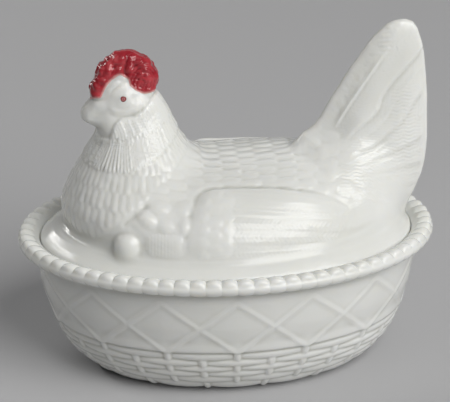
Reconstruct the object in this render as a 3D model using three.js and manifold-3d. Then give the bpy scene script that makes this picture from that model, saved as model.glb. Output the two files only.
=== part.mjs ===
// Hen on nest covered dish in pressed opaque white glass. Two glass pieces, the
// oval nest and the hollow hen cover that sits loose in its rim, and the red
// paint of the comb and of the two eyes. Millimetres, +Z up. The origin is on
// the table under the middle of the nest. The hen faces -X.
import * as THREE from 'three';
import { mergeVertices } from 'three/addons/utils/BufferGeometryUtils.js';
import Module from 'manifold-3d';

// ---------------------------------------------------------------- dimensions
const NEST_LENGTH = 190; // over the beads
const NEST_WIDTH = 140.6;
const RIM_TOP = 63.6; // top of the beaded roll
const ROLL_HEIGHT = 7.6; // beaded roll, outside the wall
const LEDGE_INSET = 9.6; // from the beads' outside to the upright under them, round the cover
const BEADS = 74;
const BEAD_DEPTH = 1.0; // crease between two beads
const LEDGE_Z = 57.5; // step inside the rim, on which the cover sits
const FLOOR_Z = 5.6; // inside bottom of the nest
const COVER_CLEARANCE = 0.6; // all round, between cover and rim
const SEAT_GAP = 0.3; // between the cover's underside and the ledge
const COVER_EDGE = 3.1; // thickness of the cover at its edge
const BODY_CENTRE_X = -3.5; // hen's body where it meets the flange
const BODY_HALF_LENGTH = 73.5;
const BODY_HALF_WIDTH = 52.5;
const FLANGE_Z = 67.6; // height of that line
const BACK_Z = 97.4; // top of the back
const GLASS = 5.0; // wall of the hollow hen
const NECK_GLASS = 7.0;
const TAIL_TOP = 156.9;
const COMB_THICKNESS = 12.4;
const ENAMEL = 0.5; // paint, shown much thicker than it is
const ENAMEL_GAP = 0.3;
const EYE = { x: -44.9, z: 128.4, radius: 1.35 };

const wasm = await Module();
wasm.setup();

// ------------------------------------------------------------------- helpers
function lerpTable(table, t) {
  if (t <= table[0][0]) return table[0][1];
  for (let i = 1; i < table.length; i++) {
    if (t <= table[i][0]) {
      const [t0, v0] = table[i - 1];
      const [t1, v1] = table[i];
      return v0 + ((v1 - v0) * (t - t0)) / (t1 - t0);
    }
  }
  return table[table.length - 1][1];
}

// A closed loft: rings with the same number of points, a fan on each end.
function loft(rings) {
  const n = rings[0].length;
  const positions = [];
  for (const ring of rings) for (const p of ring) positions.push(p.x, p.y, p.z);
  const centre = (ring) =>
    ring.reduce((s, p) => s.add(p), new THREE.Vector3()).multiplyScalar(1 / ring.length);
  const first = centre(rings[0]);
  const last = centre(rings[rings.length - 1]);
  const a = positions.length / 3;
  positions.push(first.x, first.y, first.z, last.x, last.y, last.z);
  const index = [];
  for (let r = 0; r + 1 < rings.length; r++) {
    for (let i = 0; i < n; i++) {
      const j = (i + 1) % n;
      const p = r * n + i;
      const q = r * n + j;
      const s = (r + 1) * n + i;
      const t = (r + 1) * n + j;
      index.push(p, q, t, p, t, s);
    }
  }
  const top = (rings.length - 1) * n;
  for (let i = 0; i < n; i++) {
    const j = (i + 1) % n;
    index.push(a, j, i);
    index.push(a + 1, top + i, top + j);
  }
  const geometry = new THREE.BufferGeometry();
  geometry.setAttribute('position', new THREE.Float32BufferAttribute(positions, 3));
  geometry.setIndex(index);
  return geometry;
}

function solid(geometry) {
  const g = geometry.clone();
  g.deleteAttribute('normal');
  g.deleteAttribute('uv');
  const merged = mergeVertices(g, 1e-4);
  const made = new wasm.Manifold(
    new wasm.Mesh({
      numProp: 3,
      vertProperties: new Float32Array(merged.attributes.position.array),
      triVerts: new Uint32Array(merged.index.array),
    }),
  );
  if (made.volume() > 0) return made;
  const flipped = new Uint32Array(merged.index.array);
  for (let i = 0; i < flipped.length; i += 3) {
    const k = flipped[i + 1];
    flipped[i + 1] = flipped[i + 2];
    flipped[i + 2] = k;
  }
  return new wasm.Manifold(
    new wasm.Mesh({
      numProp: 3,
      vertProperties: new Float32Array(merged.attributes.position.array),
      triVerts: flipped,
    }),
  );
}

function geometryOf(manifold) {
  const mesh = manifold.getMesh();
  const g = new THREE.BufferGeometry();
  const count = mesh.vertProperties.length / mesh.numProp;
  const positions = new Float32Array(count * 3);
  for (let i = 0; i < count; i++) {
    for (let k = 0; k < 3; k++) positions[3 * i + k] = mesh.vertProperties[i * mesh.numProp + k];
  }
  g.setAttribute('position', new THREE.BufferAttribute(positions, 3));
  g.setIndex(new THREE.BufferAttribute(new Uint32Array(mesh.triVerts), 1));
  g.computeVertexNormals();
  return g;
}

// Angles that space points evenly along an ellipse.
function evenAngles(a, b, count) {
  const steps = 2880;
  const length = [0];
  for (let i = 1; i <= steps; i++) {
    const t = ((i - 0.5) / steps) * 2 * Math.PI;
    length.push(length[i - 1] + Math.hypot(a * Math.sin(t), b * Math.cos(t)));
  }
  const out = [];
  let k = 0;
  for (let i = 0; i < count; i++) {
    const want = (length[steps] * i) / count;
    while (length[k + 1] < want) k++;
    const f = (want - length[k]) / (length[k + 1] - length[k]);
    out.push(((k + f) / steps) * 2 * Math.PI);
  }
  return out;
}

// ---------------------------------------------------------------------- nest
const A = NEST_LENGTH / 2;
const B = NEST_WIDTH / 2;
const rimAngles = evenAngles(A, B, 2 * BEADS);
const R = ROLL_HEIGHT / 2;
const ROLL_Z = RIM_TOP - R;

// [inset along the length, inset across, height, share of the bead crease]
const nestProfile = [
  [37.9, 29.5, 0, 0], // foot
  [30.6, 23.7, 2.6, 0],
  [25.0, 19.4, 8, 0],
  [19.6, 15.3, 14, 0],
  [15.4, 12.0, 23, 0],
  [11.2, 8.7, 36, 0],
  [8.6, 6.7, 50, 0],
  [7.6, 6.2, 55.2, 0],
  [R, R, ROLL_Z - R, 0.4],
  [0.6, 0.6, ROLL_Z - 0.52 * R, 0.8],
  [0, 0, ROLL_Z + 0.2, 1],
  [1.1, 1.1, ROLL_Z + 0.72 * R, 1],
  [R, R, RIM_TOP, 1],
  [6.6, 6.6, RIM_TOP - 1.0, 0.5],
  [8.0, 8.0, RIM_TOP - 2.2, 0],
  [LEDGE_INSET, LEDGE_INSET, RIM_TOP - 3.6, 0],
  [LEDGE_INSET, LEDGE_INSET, LEDGE_Z, 0],
  [14.2, 12.4, LEDGE_Z, 0],
  [16.4, 14.2, 38, 0],
  [23.0, 19.0, 20, 0],
  [31.0, 24.5, 9, 0],
  [40.0, 32.0, FLOOR_Z, 0],
];

function nestRing([da, db, z, crease]) {
  return rimAngles.map((t, i) => {
    const c = Math.cos(t);
    const s = Math.sin(t);
    const p = new THREE.Vector3((A - da) * c, (B - db) * s, z);
    if (crease > 0 && i % 2 === 1) {
      // the crease goes towards the middle of the roll
      const middle = new THREE.Vector3((A - R) * c, (B - R) * s, ROLL_Z);
      const out = p.clone().sub(middle).normalize();
      p.addScaledVector(out, -BEAD_DEPTH * crease);
    }
    return p;
  });
}
const nest = solid(loft(nestProfile.map(nestRing)));

// ------------------------------------------------------------------ hen cover
const LA = A - LEDGE_INSET - COVER_CLEARANCE;
const LB = B - LEDGE_INSET - COVER_CLEARANCE;
const SEAT = LEDGE_Z + SEAT_GAP;
const flangeAngles = evenAngles(LA, LB, 72);
const flangeProfile = [
  [0.7, SEAT],
  [0, SEAT + 0.9],
  [0, SEAT + COVER_EDGE - 0.8],
  [0.9, SEAT + COVER_EDGE + 0.3],
  [3.0, 63.4],
  [6.0, 66.0],
  [9.5, FLANGE_Z + 0.3],
  [16.0, FLANGE_Z + 1.2],
];
const flange = solid(
  loft(
    flangeProfile.map(([d, z]) =>
      flangeAngles.map((t) => new THREE.Vector3((LA - d) * Math.cos(t), (LB - d) * Math.sin(t), z)),
    ),
  ),
);

// Body: half-oval sections across X, from the breast to the rump.
const backLine = [
  [-77, 67], [-76.2, 71.5], [-75, 77.5], [-73, 83], [-70, 88], [-66, 92], [-60, 94.8], [-50, 96.4],
  [-35, BACK_Z], [28, BACK_Z], [38, 97], [48, 95.5], [56, 91.5], [63, 85.5], [68, 79], [70, 67],
];
function bodyRing(x, shrink, drop) {
  const u = Math.min(1, Math.abs((x - BODY_CENTRE_X) / (BODY_HALF_LENGTH - shrink)));
  const w = Math.max(0.6, (BODY_HALF_WIDTH - shrink) * Math.sqrt(1 - u * u));
  const top = Math.max(FLANGE_Z + 0.5, lerpTable(backLine, x) - drop);
  const z0 = FLANGE_Z - 1.5;
  const ring = [];
  const n = 16;
  for (let i = 0; i <= n; i++) {
    const f = (Math.PI * i) / n;
    const c = Math.cos(f);
    const s = Math.sin(f);
    ring.push(
      new THREE.Vector3(
        x,
        Math.sign(c) * w * Math.pow(Math.abs(c), 0.92),
        z0 + (top - z0) * Math.pow(s, 0.92),
      ),
    );
  }
  ring.push(new THREE.Vector3(x, -w, SEAT + 2));
  ring.push(new THREE.Vector3(x, w, SEAT + 2));
  return ring;
}
function stations(x0, x1, count) {
  const out = [];
  for (let i = 0; i <= count; i++) {
    out.push(x0 + ((x1 - x0) * (1 - Math.cos((Math.PI * i) / count))) / 2);
  }
  return out;
}
const bodyFront = BODY_CENTRE_X - BODY_HALF_LENGTH + 0.05;
const bodyBack = BODY_CENTRE_X + BODY_HALF_LENGTH - 0.05;
const body = solid(loft(stations(bodyFront, bodyBack, 22).map((x) => bodyRing(x, 0, 0))));

// Neck and head: oval slices, level with the table.
const neckFront = [
  [64, -76.4], [70, -76], [80, -74.5], [85.6, -72.3], [91.3, -70], [97, -67.1], [102.6, -63.7],
  [108.2, -59.9], [111, -58.5], [114, -58.3], [118, -58.6], [124, -58.2], [129, -56.6], [133, -53],
  [135.4, -48],
];
const neckBack = [
  [64, -2], [80, -6], [90, -9.5], [98, -13], [104, -17], [106.3, -19], [111.3, -21.6],
  [116.6, -24.1], [122, -26.7], [126.4, -29.4], [130, -32.4], [133, -36.5], [135.4, -42],
];
const neckHalf = [
  [64, 43], [72, 42], [80, 39.5], [88, 34], [96, 27.6], [102, 22.8], [108, 18.4], [112, 15.6],
  [116, 13.6], [120, 12.4], [126, 11.4], [130, 10.2], [133, 7.6], [135.4, 4],
];
function slice(front, back, half, z, inset, n) {
  const f = lerpTable(front, z) + inset;
  const b = lerpTable(back, z) - inset;
  const h = Math.max(0.8, lerpTable(half, z) - inset);
  const ring = [];
  for (let i = 0; i < n; i++) {
    const t = (2 * Math.PI * i) / n;
    ring.push(new THREE.Vector3((f + b) / 2 + ((b - f) / 2) * Math.cos(t), h * Math.sin(t), z));
  }
  return ring;
}
const neckZ = [64, 72, 80, 86, 92, 97, 102, 106.5, 111, 115, 119, 123, 127, 130, 133, 135.4];
const neck = solid(loft(neckZ.map((z) => slice(neckFront, neckBack, neckHalf, z, 0, 24))));

// Beak: a short blunt cone lying along -X, and the wattles under it.
const beak = (() => {
  const g = new THREE.SphereGeometry(1, 16, 10);
  g.scale(8.6, 5.4, 5.8);
  g.rotateY(-0.1);
  g.translate(-55.8, 0, 119.1);
  return solid(g);
})();
const wattles = [-1, 1].map((side) => {
  const g = new THREE.SphereGeometry(1, 14, 10);
  g.scale(5.4, 4.0, 5.0);
  g.translate(-51.8, side * 7.6, 115.6);
  return solid(g);
});

// Tail: a thin upright fan.
const tailFront = [
  [64, 40], [80, 36], [92, 34], [100, 34.5], [104.3, 36.2], [108.4, 40.8], [112.1, 43.5],
  [117.3, 46.3], [121.9, 48.9], [126.1, 51.7], [130.7, 54.4], [134.9, 57.1], [138.5, 59.8],
  [142.2, 62.4], [146.3, 65.1], [149.5, 67.8], [152.2, 70.5], [154.8, 73.2], [156.2, 76.5],
  [TAIL_TOP, 80],
];
const tailBack = [
  [64, 73], [67, 76], [70, 80.5], [75, 86], [77.9, 87.6], [83.7, 89.9], [89.5, 91.2], [95.4, 91.9],
  [101, 92.3], [121.4, 92], [130, 91.4], [141.4, 90.3], [147.1, 89], [152.8, 87.2], [156.2, 85],
  [TAIL_TOP, 82],
];
const tailHalf = [
  [64, 20], [80, 17], [92, 14], [104, 11], [115, 8.8], [125, 7.4], [140, 5.8], [150, 4.8],
  [155, 3.8], [TAIL_TOP, 2.2],
];
function tailSlice(z) {
  const f = lerpTable(tailFront, z);
  const b = lerpTable(tailBack, z);
  const h = lerpTable(tailHalf, z);
  const ring = [];
  const n = 20;
  for (let i = 0; i < n; i++) {
    const t = (2 * Math.PI * i) / n;
    const c = Math.cos(t);
    const s = Math.sin(t);
    const x = (f + b) / 2 + ((b - f) / 2) * Math.sign(c) * Math.pow(Math.abs(c), 0.85);
    // thinner towards the rear edge
    const share = 1 - 0.42 * ((x - f) / Math.max(1, b - f));
    ring.push(new THREE.Vector3(x, Math.sign(s) * Math.pow(Math.abs(s), 0.72) * h * share, z));
  }
  return ring;
}
const tailZ = [
  64, 70, 75, 80, 88, 96, 104.3, 110, 118, 126, 134.9, 142.2, 149.5, 153.2, 155.6, TAIL_TOP,
];
const tail = solid(loft(tailZ.map(tailSlice)));

// Comb: an upright lobed plate on the crown.
const combOutline = [
  [-59.4, 128.6], [-58.8, 132.5], [-57.3, 136.6], [-55.2, 140.4], [-52.6, 143.4], [-49.2, 145.6],
  [-45.6, 147.1], [-42, 147.2], [-38.8, 146.2], [-35.8, 144.4], [-32.8, 141.9], [-30.4, 138.2],
  [-29.6, 134], [-30.2, 129.6], [-34, 126.5], [-45, 125], [-55, 126],
];
function plate(outline, half, round) {
  // a plate across Y with rounded rims, as a loft of the outline shrunk towards its middle
  const cx = outline.reduce((s, p) => s + p[0], 0) / outline.length;
  const cz = outline.reduce((s, p) => s + p[1], 0) / outline.length;
  const rows = [
    [-half, 0.62], [-0.86 * half, 0.84], [-0.5 * half, 0.97], [0, 1], [0.5 * half, 0.97],
    [0.86 * half, 0.84], [half, 0.62],
  ];
  return solid(
    loft(
      rows.map(([y, k]) =>
        outline.map(
          ([x, z]) => new THREE.Vector3(cx + (x - cx) * (k - round), y, cz + (z - cz) * (k - round)),
        ),
      ),
    ),
  );
}
const COMB_HALF = COMB_THICKNESS / 2;
const combPaintOuter = plate(combOutline, COMB_HALF, 0);
const combPaintInner = plate(combOutline, COMB_HALF - ENAMEL, 0.035);
const combGlass = plate(combOutline, COMB_HALF - ENAMEL - ENAMEL_GAP, 0.056);

// Hollow: follows the outside a wall's thickness in, and opens downwards.
const hollowRing = (x) =>
  bodyRing(x, GLASS, GLASS).map((p) => (p.z < FLANGE_Z - 3 ? new THREE.Vector3(p.x, p.y, 50) : p));
const hollowBody = solid(
  loft(stations(bodyFront + GLASS + 0.6, bodyBack - GLASS - 3, 14).map(hollowRing)),
);
const hollowNeck = solid(
  loft(
    [50, 64, 76, 86, 94, 101, 107, 112, 115.5].map((z) => {
      const inset = NECK_GLASS + (z > 110 ? (z - 110) * 0.45 : 0);
      const r = slice(neckFront, neckBack, neckHalf, Math.max(z, 64), inset, 16);
      return r.map((p) => new THREE.Vector3(p.x, p.y, z));
    }),
  ),
);

let cover = flange.add(body).add(neck).add(beak).add(tail).add(combGlass);
for (const wattle of wattles) cover = cover.add(wattle);
cover = cover.subtract(hollowBody).subtract(hollowNeck);

// The paint covers the comb down to the crown line.
const crownLine = [
  [-62, 125.2], [-57.5, 126.5], [-54.2, 130.2], [-51, 133.4], [-47.6, 134.9], [-45, 133.8],
  [-43.4, 131.2], [-39.6, 129.0], [-34, 128.6], [-28, 130.2], [-28, 118], [-62, 118],
];
const below = (() => {
  const shape = new THREE.Shape(crownLine.map(([x, z]) => new THREE.Vector2(x, z)));
  const g = new THREE.ExtrudeGeometry(shape, { depth: 30, bevelEnabled: false });
  g.rotateX(Math.PI / 2); // shape's Y becomes Z
  g.translate(0, 15, 0);
  return solid(g);
})();
const crownRoom = solid(
  loft(
    neckZ
      .filter((z) => z > 110)
      .map((z) => slice(neckFront, neckBack, neckHalf, z, -ENAMEL_GAP, 24).map((p) => p.setZ(p.z + (z > 134 ? 0.35 : 0)))),
  ),
);
const combPaint = combPaintOuter.subtract(combPaintInner).subtract(below).subtract(crownRoom);

// Eyes: a small painted lens on each side of the face.
function eyeGeometry(side) {
  const points = [
    new THREE.Vector2(0, 0),
    new THREE.Vector2(EYE.radius, 0),
    new THREE.Vector2(EYE.radius * 0.92, 0.35),
    new THREE.Vector2(EYE.radius * 0.55, 0.6),
    new THREE.Vector2(0, 0.7),
  ];
  const g = new THREE.LatheGeometry(points, 16);
  if (side < 0) g.rotateX(Math.PI);
  return g;
}

// -------------------------------------------------------------------- assembly
const white = { color: 0xe9ebe6, roughness: 0.12, metalness: 0 };
const red = { color: 0xb01f2d, roughness: 0.3, metalness: 0 };
function named(name, geometry, material) {
  const mesh = new THREE.Mesh(geometry, new THREE.MeshStandardMaterial(material));
  mesh.name = name;
  return mesh;
}

const dish = new THREE.Group();
dish.add(named('nest_base', geometryOf(nest), white));

const lid = new THREE.Group();
lid.add(named('hen_cover', geometryOf(cover), white));
lid.add(named('comb_enamel', geometryOf(combPaint), red));
for (const [name, side] of [['eye_enamel_left', 1], ['eye_enamel_right', -1]]) {
  const eye = named(name, solidGeometry(eyeGeometry(side)), red);
  eye.position.set(EYE.x, side * eyeReach(), EYE.z);
  lid.add(eye);
}
dish.add(lid);

// The lathe's seam is welded so that the lens is one closed body.
function solidGeometry(g) {
  return geometryOf(solid(g));
}
// Widest point of the face under the eye, and the paint's gap.
function eyeReach() {
  let reach = 0;
  for (let i = 0; i < 12; i++) {
    const t = (Math.PI * i) / 6;
    const x = EYE.x + EYE.radius * Math.cos(t);
    const z = EYE.z + EYE.radius * Math.sin(t);
    const f = lerpTable(neckFront, z);
    const b = lerpTable(neckBack, z);
    const u = (x - (f + b) / 2) / ((b - f) / 2);
    reach = Math.max(reach, lerpTable(neckHalf, z) * Math.sqrt(1 - u * u));
  }
  return reach + ENAMEL_GAP;
}

export default dish;
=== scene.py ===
"""Looks of a hen on nest covered dish in pressed opaque white glass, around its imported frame."""
import math

import bpy
import numpy as np
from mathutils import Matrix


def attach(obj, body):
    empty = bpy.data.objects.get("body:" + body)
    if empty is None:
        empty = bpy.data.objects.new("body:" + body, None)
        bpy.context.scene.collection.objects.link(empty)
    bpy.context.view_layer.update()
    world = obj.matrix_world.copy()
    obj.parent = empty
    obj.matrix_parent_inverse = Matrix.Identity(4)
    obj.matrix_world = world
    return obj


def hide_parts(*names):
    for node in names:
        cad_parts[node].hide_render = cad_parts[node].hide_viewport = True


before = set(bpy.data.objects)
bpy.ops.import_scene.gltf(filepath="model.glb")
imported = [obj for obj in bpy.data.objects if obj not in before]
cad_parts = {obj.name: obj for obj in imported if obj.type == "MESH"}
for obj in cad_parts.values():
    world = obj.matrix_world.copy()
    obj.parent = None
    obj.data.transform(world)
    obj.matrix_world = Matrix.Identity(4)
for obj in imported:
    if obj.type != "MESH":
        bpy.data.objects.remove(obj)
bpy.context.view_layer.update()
MM = 0.001

# ---------------------------------------------------------------- camera facts
AZ, EL, ROLL = math.radians(-3.93), math.radians(22.22), math.radians(-1.10)
DIST, FOCAL, AIM_X, AIM_Z = 1109.0, 2433.0, -0.17, 73.31  # mm, px, mm, mm
VIEW_W, VIEW_H = 450.0, 402.0
BACK = np.array([math.sin(AZ) * math.cos(EL), -math.cos(AZ) * math.cos(EL), math.sin(EL)])
EYE_AT = np.array([AIM_X, 0.0, AIM_Z]) + BACK * DIST
_right = np.cross(-BACK, [0.0, 0.0, 1.0]); _right /= np.linalg.norm(_right)
_up = np.cross(_right, -BACK)
VIEW_R = math.cos(ROLL) * _right + math.sin(ROLL) * _up
VIEW_U = -math.sin(ROLL) * _right + math.cos(ROLL) * _up


def side_view(x, y, z):
    """Where a point of the near side lies in a 450 x 402 frame; the far side is folded onto the near one."""
    dx, dy, dz = x - EYE_AT[0], -np.abs(y) - EYE_AT[1], z - EYE_AT[2]
    depth = -(dx * BACK[0] + dy * BACK[1] + dz * BACK[2])
    r = dx * VIEW_R[0] + dy * VIEW_R[1] + dz * VIEW_R[2]
    u = dx * VIEW_U[0] + dy * VIEW_U[1] + dz * VIEW_U[2]
    return VIEW_W / 2 + FOCAL * r / depth, VIEW_H / 2 - FOCAL * u / depth


# -------------------------------------------------------------------- numbers
def sstep(a, b, x):
    t = np.clip((x - a) / (b - a), 0.0, 1.0)
    return t * t * (3.0 - 2.0 * t)


def smin(a, b, k):
    h = np.clip(0.5 + 0.5 * (b - a) / k, 0.0, 1.0)
    return b * (1 - h) + a * h - k * h * (1 - h)


def smax(a, b, k):
    return -smin(-a, -b, k)


class Table:
    """A monotone cubic through points, read from a dense line."""

    def __init__(self, points, step=0.25):
        p = np.array(points, float)
        x, y = p[:, 0], p[:, 1]
        h = np.diff(x)
        d = np.diff(y) / h
        m = np.zeros_like(y)
        m[0], m[-1] = d[0], d[-1]
        for i in range(1, len(x) - 1):
            if d[i - 1] * d[i] > 0:
                w1, w2 = 2 * h[i] + h[i - 1], h[i] + 2 * h[i - 1]
                m[i] = (w1 + w2) / (w1 / d[i - 1] + w2 / d[i])
        self.x = np.arange(x[0], x[-1] + step * 0.5, step)
        i = np.clip(np.searchsorted(x, self.x, side="right") - 1, 0, len(x) - 2)
        t = np.clip((self.x - x[i]) / h[i], 0, 1)
        t2, t3 = t * t, t * t * t
        self.y = ((2 * t3 - 3 * t2 + 1) * y[i] + (t3 - 2 * t2 + t) * h[i] * m[i]
                  + (-2 * t3 + 3 * t2) * y[i + 1] + (t3 - t2) * h[i] * m[i + 1])
        self.s = np.gradient(self.y, self.x)

    def __call__(self, t):
        return np.interp(t, self.x, self.y)

    def slope(self, t):
        return np.interp(t, self.x, self.s)


_lattice = np.random.RandomState(11).rand(64, 64, 64)


def noise(x, y, z, size, shift=0.0):
    """Smooth noise from -1 to 1 with lumps of about that size."""
    out = []
    for c in (x, y, z):
        c = c / size + 17.3 + shift
        i = np.floor(c).astype(int)
        f = c - i
        out.append((i, f * f * f * (f * (f * 6 - 15) + 10)))
    (i, u), (j, v), (k, w) = out
    s = 0.0
    for a in (0, 1):
        for b in (0, 1):
            for c in (0, 1):
                g = _lattice[(i + a) % 64, (j + b) % 64, (k + c) % 64]
                s = s + g * (u if a else 1 - u) * (v if b else 1 - v) * (w if c else 1 - w)
    return 2 * s - 1


def hash01(a, b, seed=0):
    """A steady pseudo-random number from 0 to 1 for each pair of whole numbers."""
    return _lattice[a.astype(int) % 64, b.astype(int) % 64, seed % 64]


def catmull(points, per=6, closed=True):
    p = np.array(points, float)
    n = len(p)
    out = []
    for i in range(n if closed else n - 1):
        q = [p[(i + k) % n] if closed else p[min(max(i + k, 0), n - 1)] for k in (-1, 0, 1, 2)]
        for s in range(per):
            t = s / per
            out.append(0.5 * (2 * q[1] + (q[2] - q[0]) * t + (2 * q[0] - 5 * q[1] + 4 * q[2] - q[3]) * t * t
                              + (3 * q[1] - q[0] - 3 * q[2] + q[3]) * t ** 3))
    if not closed:
        out.append(p[-1])
    return np.array(out)


def near_line(px, py, line, closed=False):
    """Distance to a line of points and how far along it, from 0 to 1."""
    line = np.array(line, float)
    n = len(line)
    segs = n if closed else n - 1
    cum = np.concatenate([[0], np.cumsum(np.hypot(*np.diff(line, axis=0).T))])
    best = np.full(px.shape, 1e18)
    along = np.zeros(px.shape)
    for i in range(segs):
        a, b = line[i], line[(i + 1) % n]
        dx, dy = b - a
        l2 = dx * dx + dy * dy + 1e-12
        t = np.clip(((px - a[0]) * dx + (py - a[1]) * dy) / l2, 0, 1)
        d = (px - a[0] - t * dx) ** 2 + (py - a[1] - t * dy) ** 2
        m = d < best
        best = np.where(m, d, best)
        if not closed:
            along = np.where(m, (cum[i] + t * (cum[i + 1] - cum[i])) / cum[-1], along)
    return np.sqrt(best), along


def in_polygon(px, py, line):
    line = np.array(line, float)
    inside = np.zeros(px.shape, bool)
    n = len(line)
    for i in range(n):
        (x0, y0), (x1, y1) = line[i], line[(i + 1) % n]
        if y0 == y1:
            continue
        m = ((y0 > py) != (y1 > py)) & (px < (x1 - x0) * (py - y0) / (y1 - y0) + x0)
        inside ^= m
    return inside


def polygon_sdf(px, py, line):
    """Signed distance to a closed line, negative inside."""
    d, _ = near_line(px, py, line, closed=True)
    return np.where(in_polygon(px, py, line), -d, d)


# ------------------------------------------------------------------ hen, solid
SEAT_Z = 57.8
LA, LB = 84.8, 60.1
flange_line = np.array([
    (0.9, 57.8), (0.25, 58.2), (0.0, 58.9), (0.0, 59.9), (0.35, 60.8), (1.1, 61.6), (3.0, 63.4), (6.0, 65.9),
    (9.5, 67.9), (14.0, 69.0), (30.0, 69.4), (60.0, 69.4), (60.0, 50.0), (0.9, 50.0)])
neck_front = Table([
    (56, -60), (64, -63.5), (67.5, -66.5), (70, -68.6), (74, -71.2), (78, -72.3), (80, -72.1), (85.6, -69.8), (91.3, -67.3), (97, -64.3),
    (102.6, -60.8), (108.2, -57.2), (111, -55.7), (114, -55.0), (118, -56.0), (124, -57.4), (129, -56.2), (133, -53), (136.6, -48.5)])
neck_back = Table([
    (56, -2), (64, -2), (80, -6), (90, -9.5), (98, -13), (104, -17), (106.3, -19), (111.3, -21.6), (116.6, -24.1),
    (122, -26.7), (126.4, -29.4), (130, -32.4), (133, -36.0), (136.6, -41)])
neck_half = Table([
    (56, 30), (64, 31.5), (67.5, 34.5), (72, 38.5), (76, 40), (80, 39.5), (88, 34), (96, 27.6), (102, 22.6), (108, 17.8),
    (112, 14.8), (116, 12.6), (120, 11.5), (126, 10.6), (130, 9.6), (133, 8.0), (136.6, 5)])
tail_half = Table([
    (56, 20), (64, 20), (80, 17), (92, 14), (104, 11), (115, 8.8), (125, 7.4), (140, 5.8), (150, 4.8), (155, 3.8),
    (156.9, 3.2)])
tail_front_pts = [
    (80, 36), (92, 34), (100, 34.5), (104.3, 36.2), (108.4, 40.8), (112.1, 43.5), (117.3, 46.3), (121.9, 48.9),
    (126.1, 51.7), (130.7, 54.4), (134.9, 57.1), (138.5, 59.8), (142.2, 62.4), (146.3, 65.1), (149.5, 67.8),
    (152.2, 70.5), (154.8, 73.6), (156.2, 76.8), (156.8, 80)]
tail_back_pts = [
    (56, 70), (64, 73), (67, 76), (70, 80.5), (75, 86), (77.9, 87.6), (83.7, 89.9), (89.5, 91.2), (95.4, 91.9),
    (101, 92.3), (121.4, 92), (130, 91.4), (141.4, 90.3), (147.1, 89), (152.8, 87.2), (155.6, 85.2), (156.8, 82)]
tail_front = Table(tail_front_pts)
tail_back = Table(tail_back_pts)
tail_outline = np.array([(x, z) for z, x in tail_front_pts] + [(x, z) for z, x in reversed(tail_back_pts)]
                        + [(36, 56)])
comb_outline = catmull([
    (-58.3, 127.6), (-57.8, 132.3), (-56.6, 137.0), (-54.3, 140.8), (-51.5, 143.8), (-48.3, 146.0), (-45.1, 147.3),
    (-41.5, 147.7), (-38.3, 146.9), (-35.8, 144.3), (-32.8, 141.8), (-30.6, 138.2), (-29.8, 134), (-30.4, 130.6),
    (-34, 126.5), (-45, 125), (-55, 126)], per=4)
beak_outline = catmull([
    (-50, 127), (-56.5, 126.4), (-59.2, 125.2), (-61.4, 123.4), (-63.0, 121.4), (-63.9, 119.4), (-64.0, 117.9), (-63.3, 116.6),
    (-61.8, 115.6), (-60.0, 115.0), (-57.8, 114.8), (-52, 115.2), (-46, 115.5), (-44, 120)], per=3)
comb_half = Table([(120, 6.9), (128, 6.9), (132, 6.7), (137, 6.0), (142, 5.1), (148.2, 3.6)])


def ellipsoid(x, y, z, c, r, turn=0.0):
    X, Z = x - c[0], z - c[2]
    if turn:
        ct, st = math.cos(turn), math.sin(turn)
        X, Z = ct * X + st * Z, -st * X + ct * Z
    Y = y - c[1]
    k0 = np.sqrt((X / r[0]) ** 2 + (Y / r[1]) ** 2 + (Z / r[2]) ** 2)
    k1 = np.sqrt((X / r[0] ** 2) ** 2 + (Y / r[1] ** 2) ** 2 + (Z / r[2] ** 2) ** 2)
    return k0 * (k0 - 1) / np.maximum(k1, 1e-6)


def plan_oval(x, y, a, b, cx=0.0):
    X = x - cx
    k0 = np.sqrt((X / a) ** 2 + (y / b) ** 2)
    k1 = np.sqrt((X / a ** 2) ** 2 + (y / b ** 2) ** 2)
    return k0 * (k0 - 1) / np.maximum(k1, 1e-6)


def body_sdf(x, y, z, shrink=0.0):
    X = x + 3.5
    # the breast draws in under itself
    a, b = 73.5 - shrink - (2.9 + 2.7 * sstep(77.0, 66.5, z)) * sstep(10, -32, X), 52.5 - shrink
    u2 = np.minimum((X / 73.5) ** 2, 1.3)
    h = 31.0 * (1 + 0.75 * u2) - shrink
    zz = np.maximum(z - 66.0, 0)
    k0 = np.sqrt((X / a) ** 2 + (y / b) ** 2 + (zz / h) ** 2)
    k1 = np.sqrt((X / a ** 2) ** 2 + (y / b ** 2) ** 2 + (zz / h ** 2) ** 2)
    return k0 * (k0 - 1) / np.maximum(k1, 1e-6)


def neck_sdf(x, y, z):
    f, bk, w = neck_front(z), neck_back(z), neck_half(z)
    c, a = (f + bk) / 2, np.maximum((bk - f) / 2, 0.5)
    k0 = np.sqrt(((x - c) / a) ** 2 + (y / w) ** 2)
    gx, gy = (x - c) / a ** 2, y / w ** 2
    k1 = np.sqrt(gx ** 2 + gy ** 2) + 1e-9
    nx, ny = gx / k1, gy / k1
    d = k0 * (k0 - 1) / k1
    rise = (neck_front.slope(z) + neck_back.slope(z)) / 2 * nx
    rise = rise + (neck_back.slope(z) - neck_front.slope(z)) / 2 * nx * (x - c) / a / np.maximum(k0, 1e-6)
    rise = rise + neck_half.slope(z) * ny * (y / w) / np.maximum(k0, 1e-6)
    d = d / np.sqrt(1 + rise ** 2)
    return smax(d, z - 136.4, 3.0)


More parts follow.
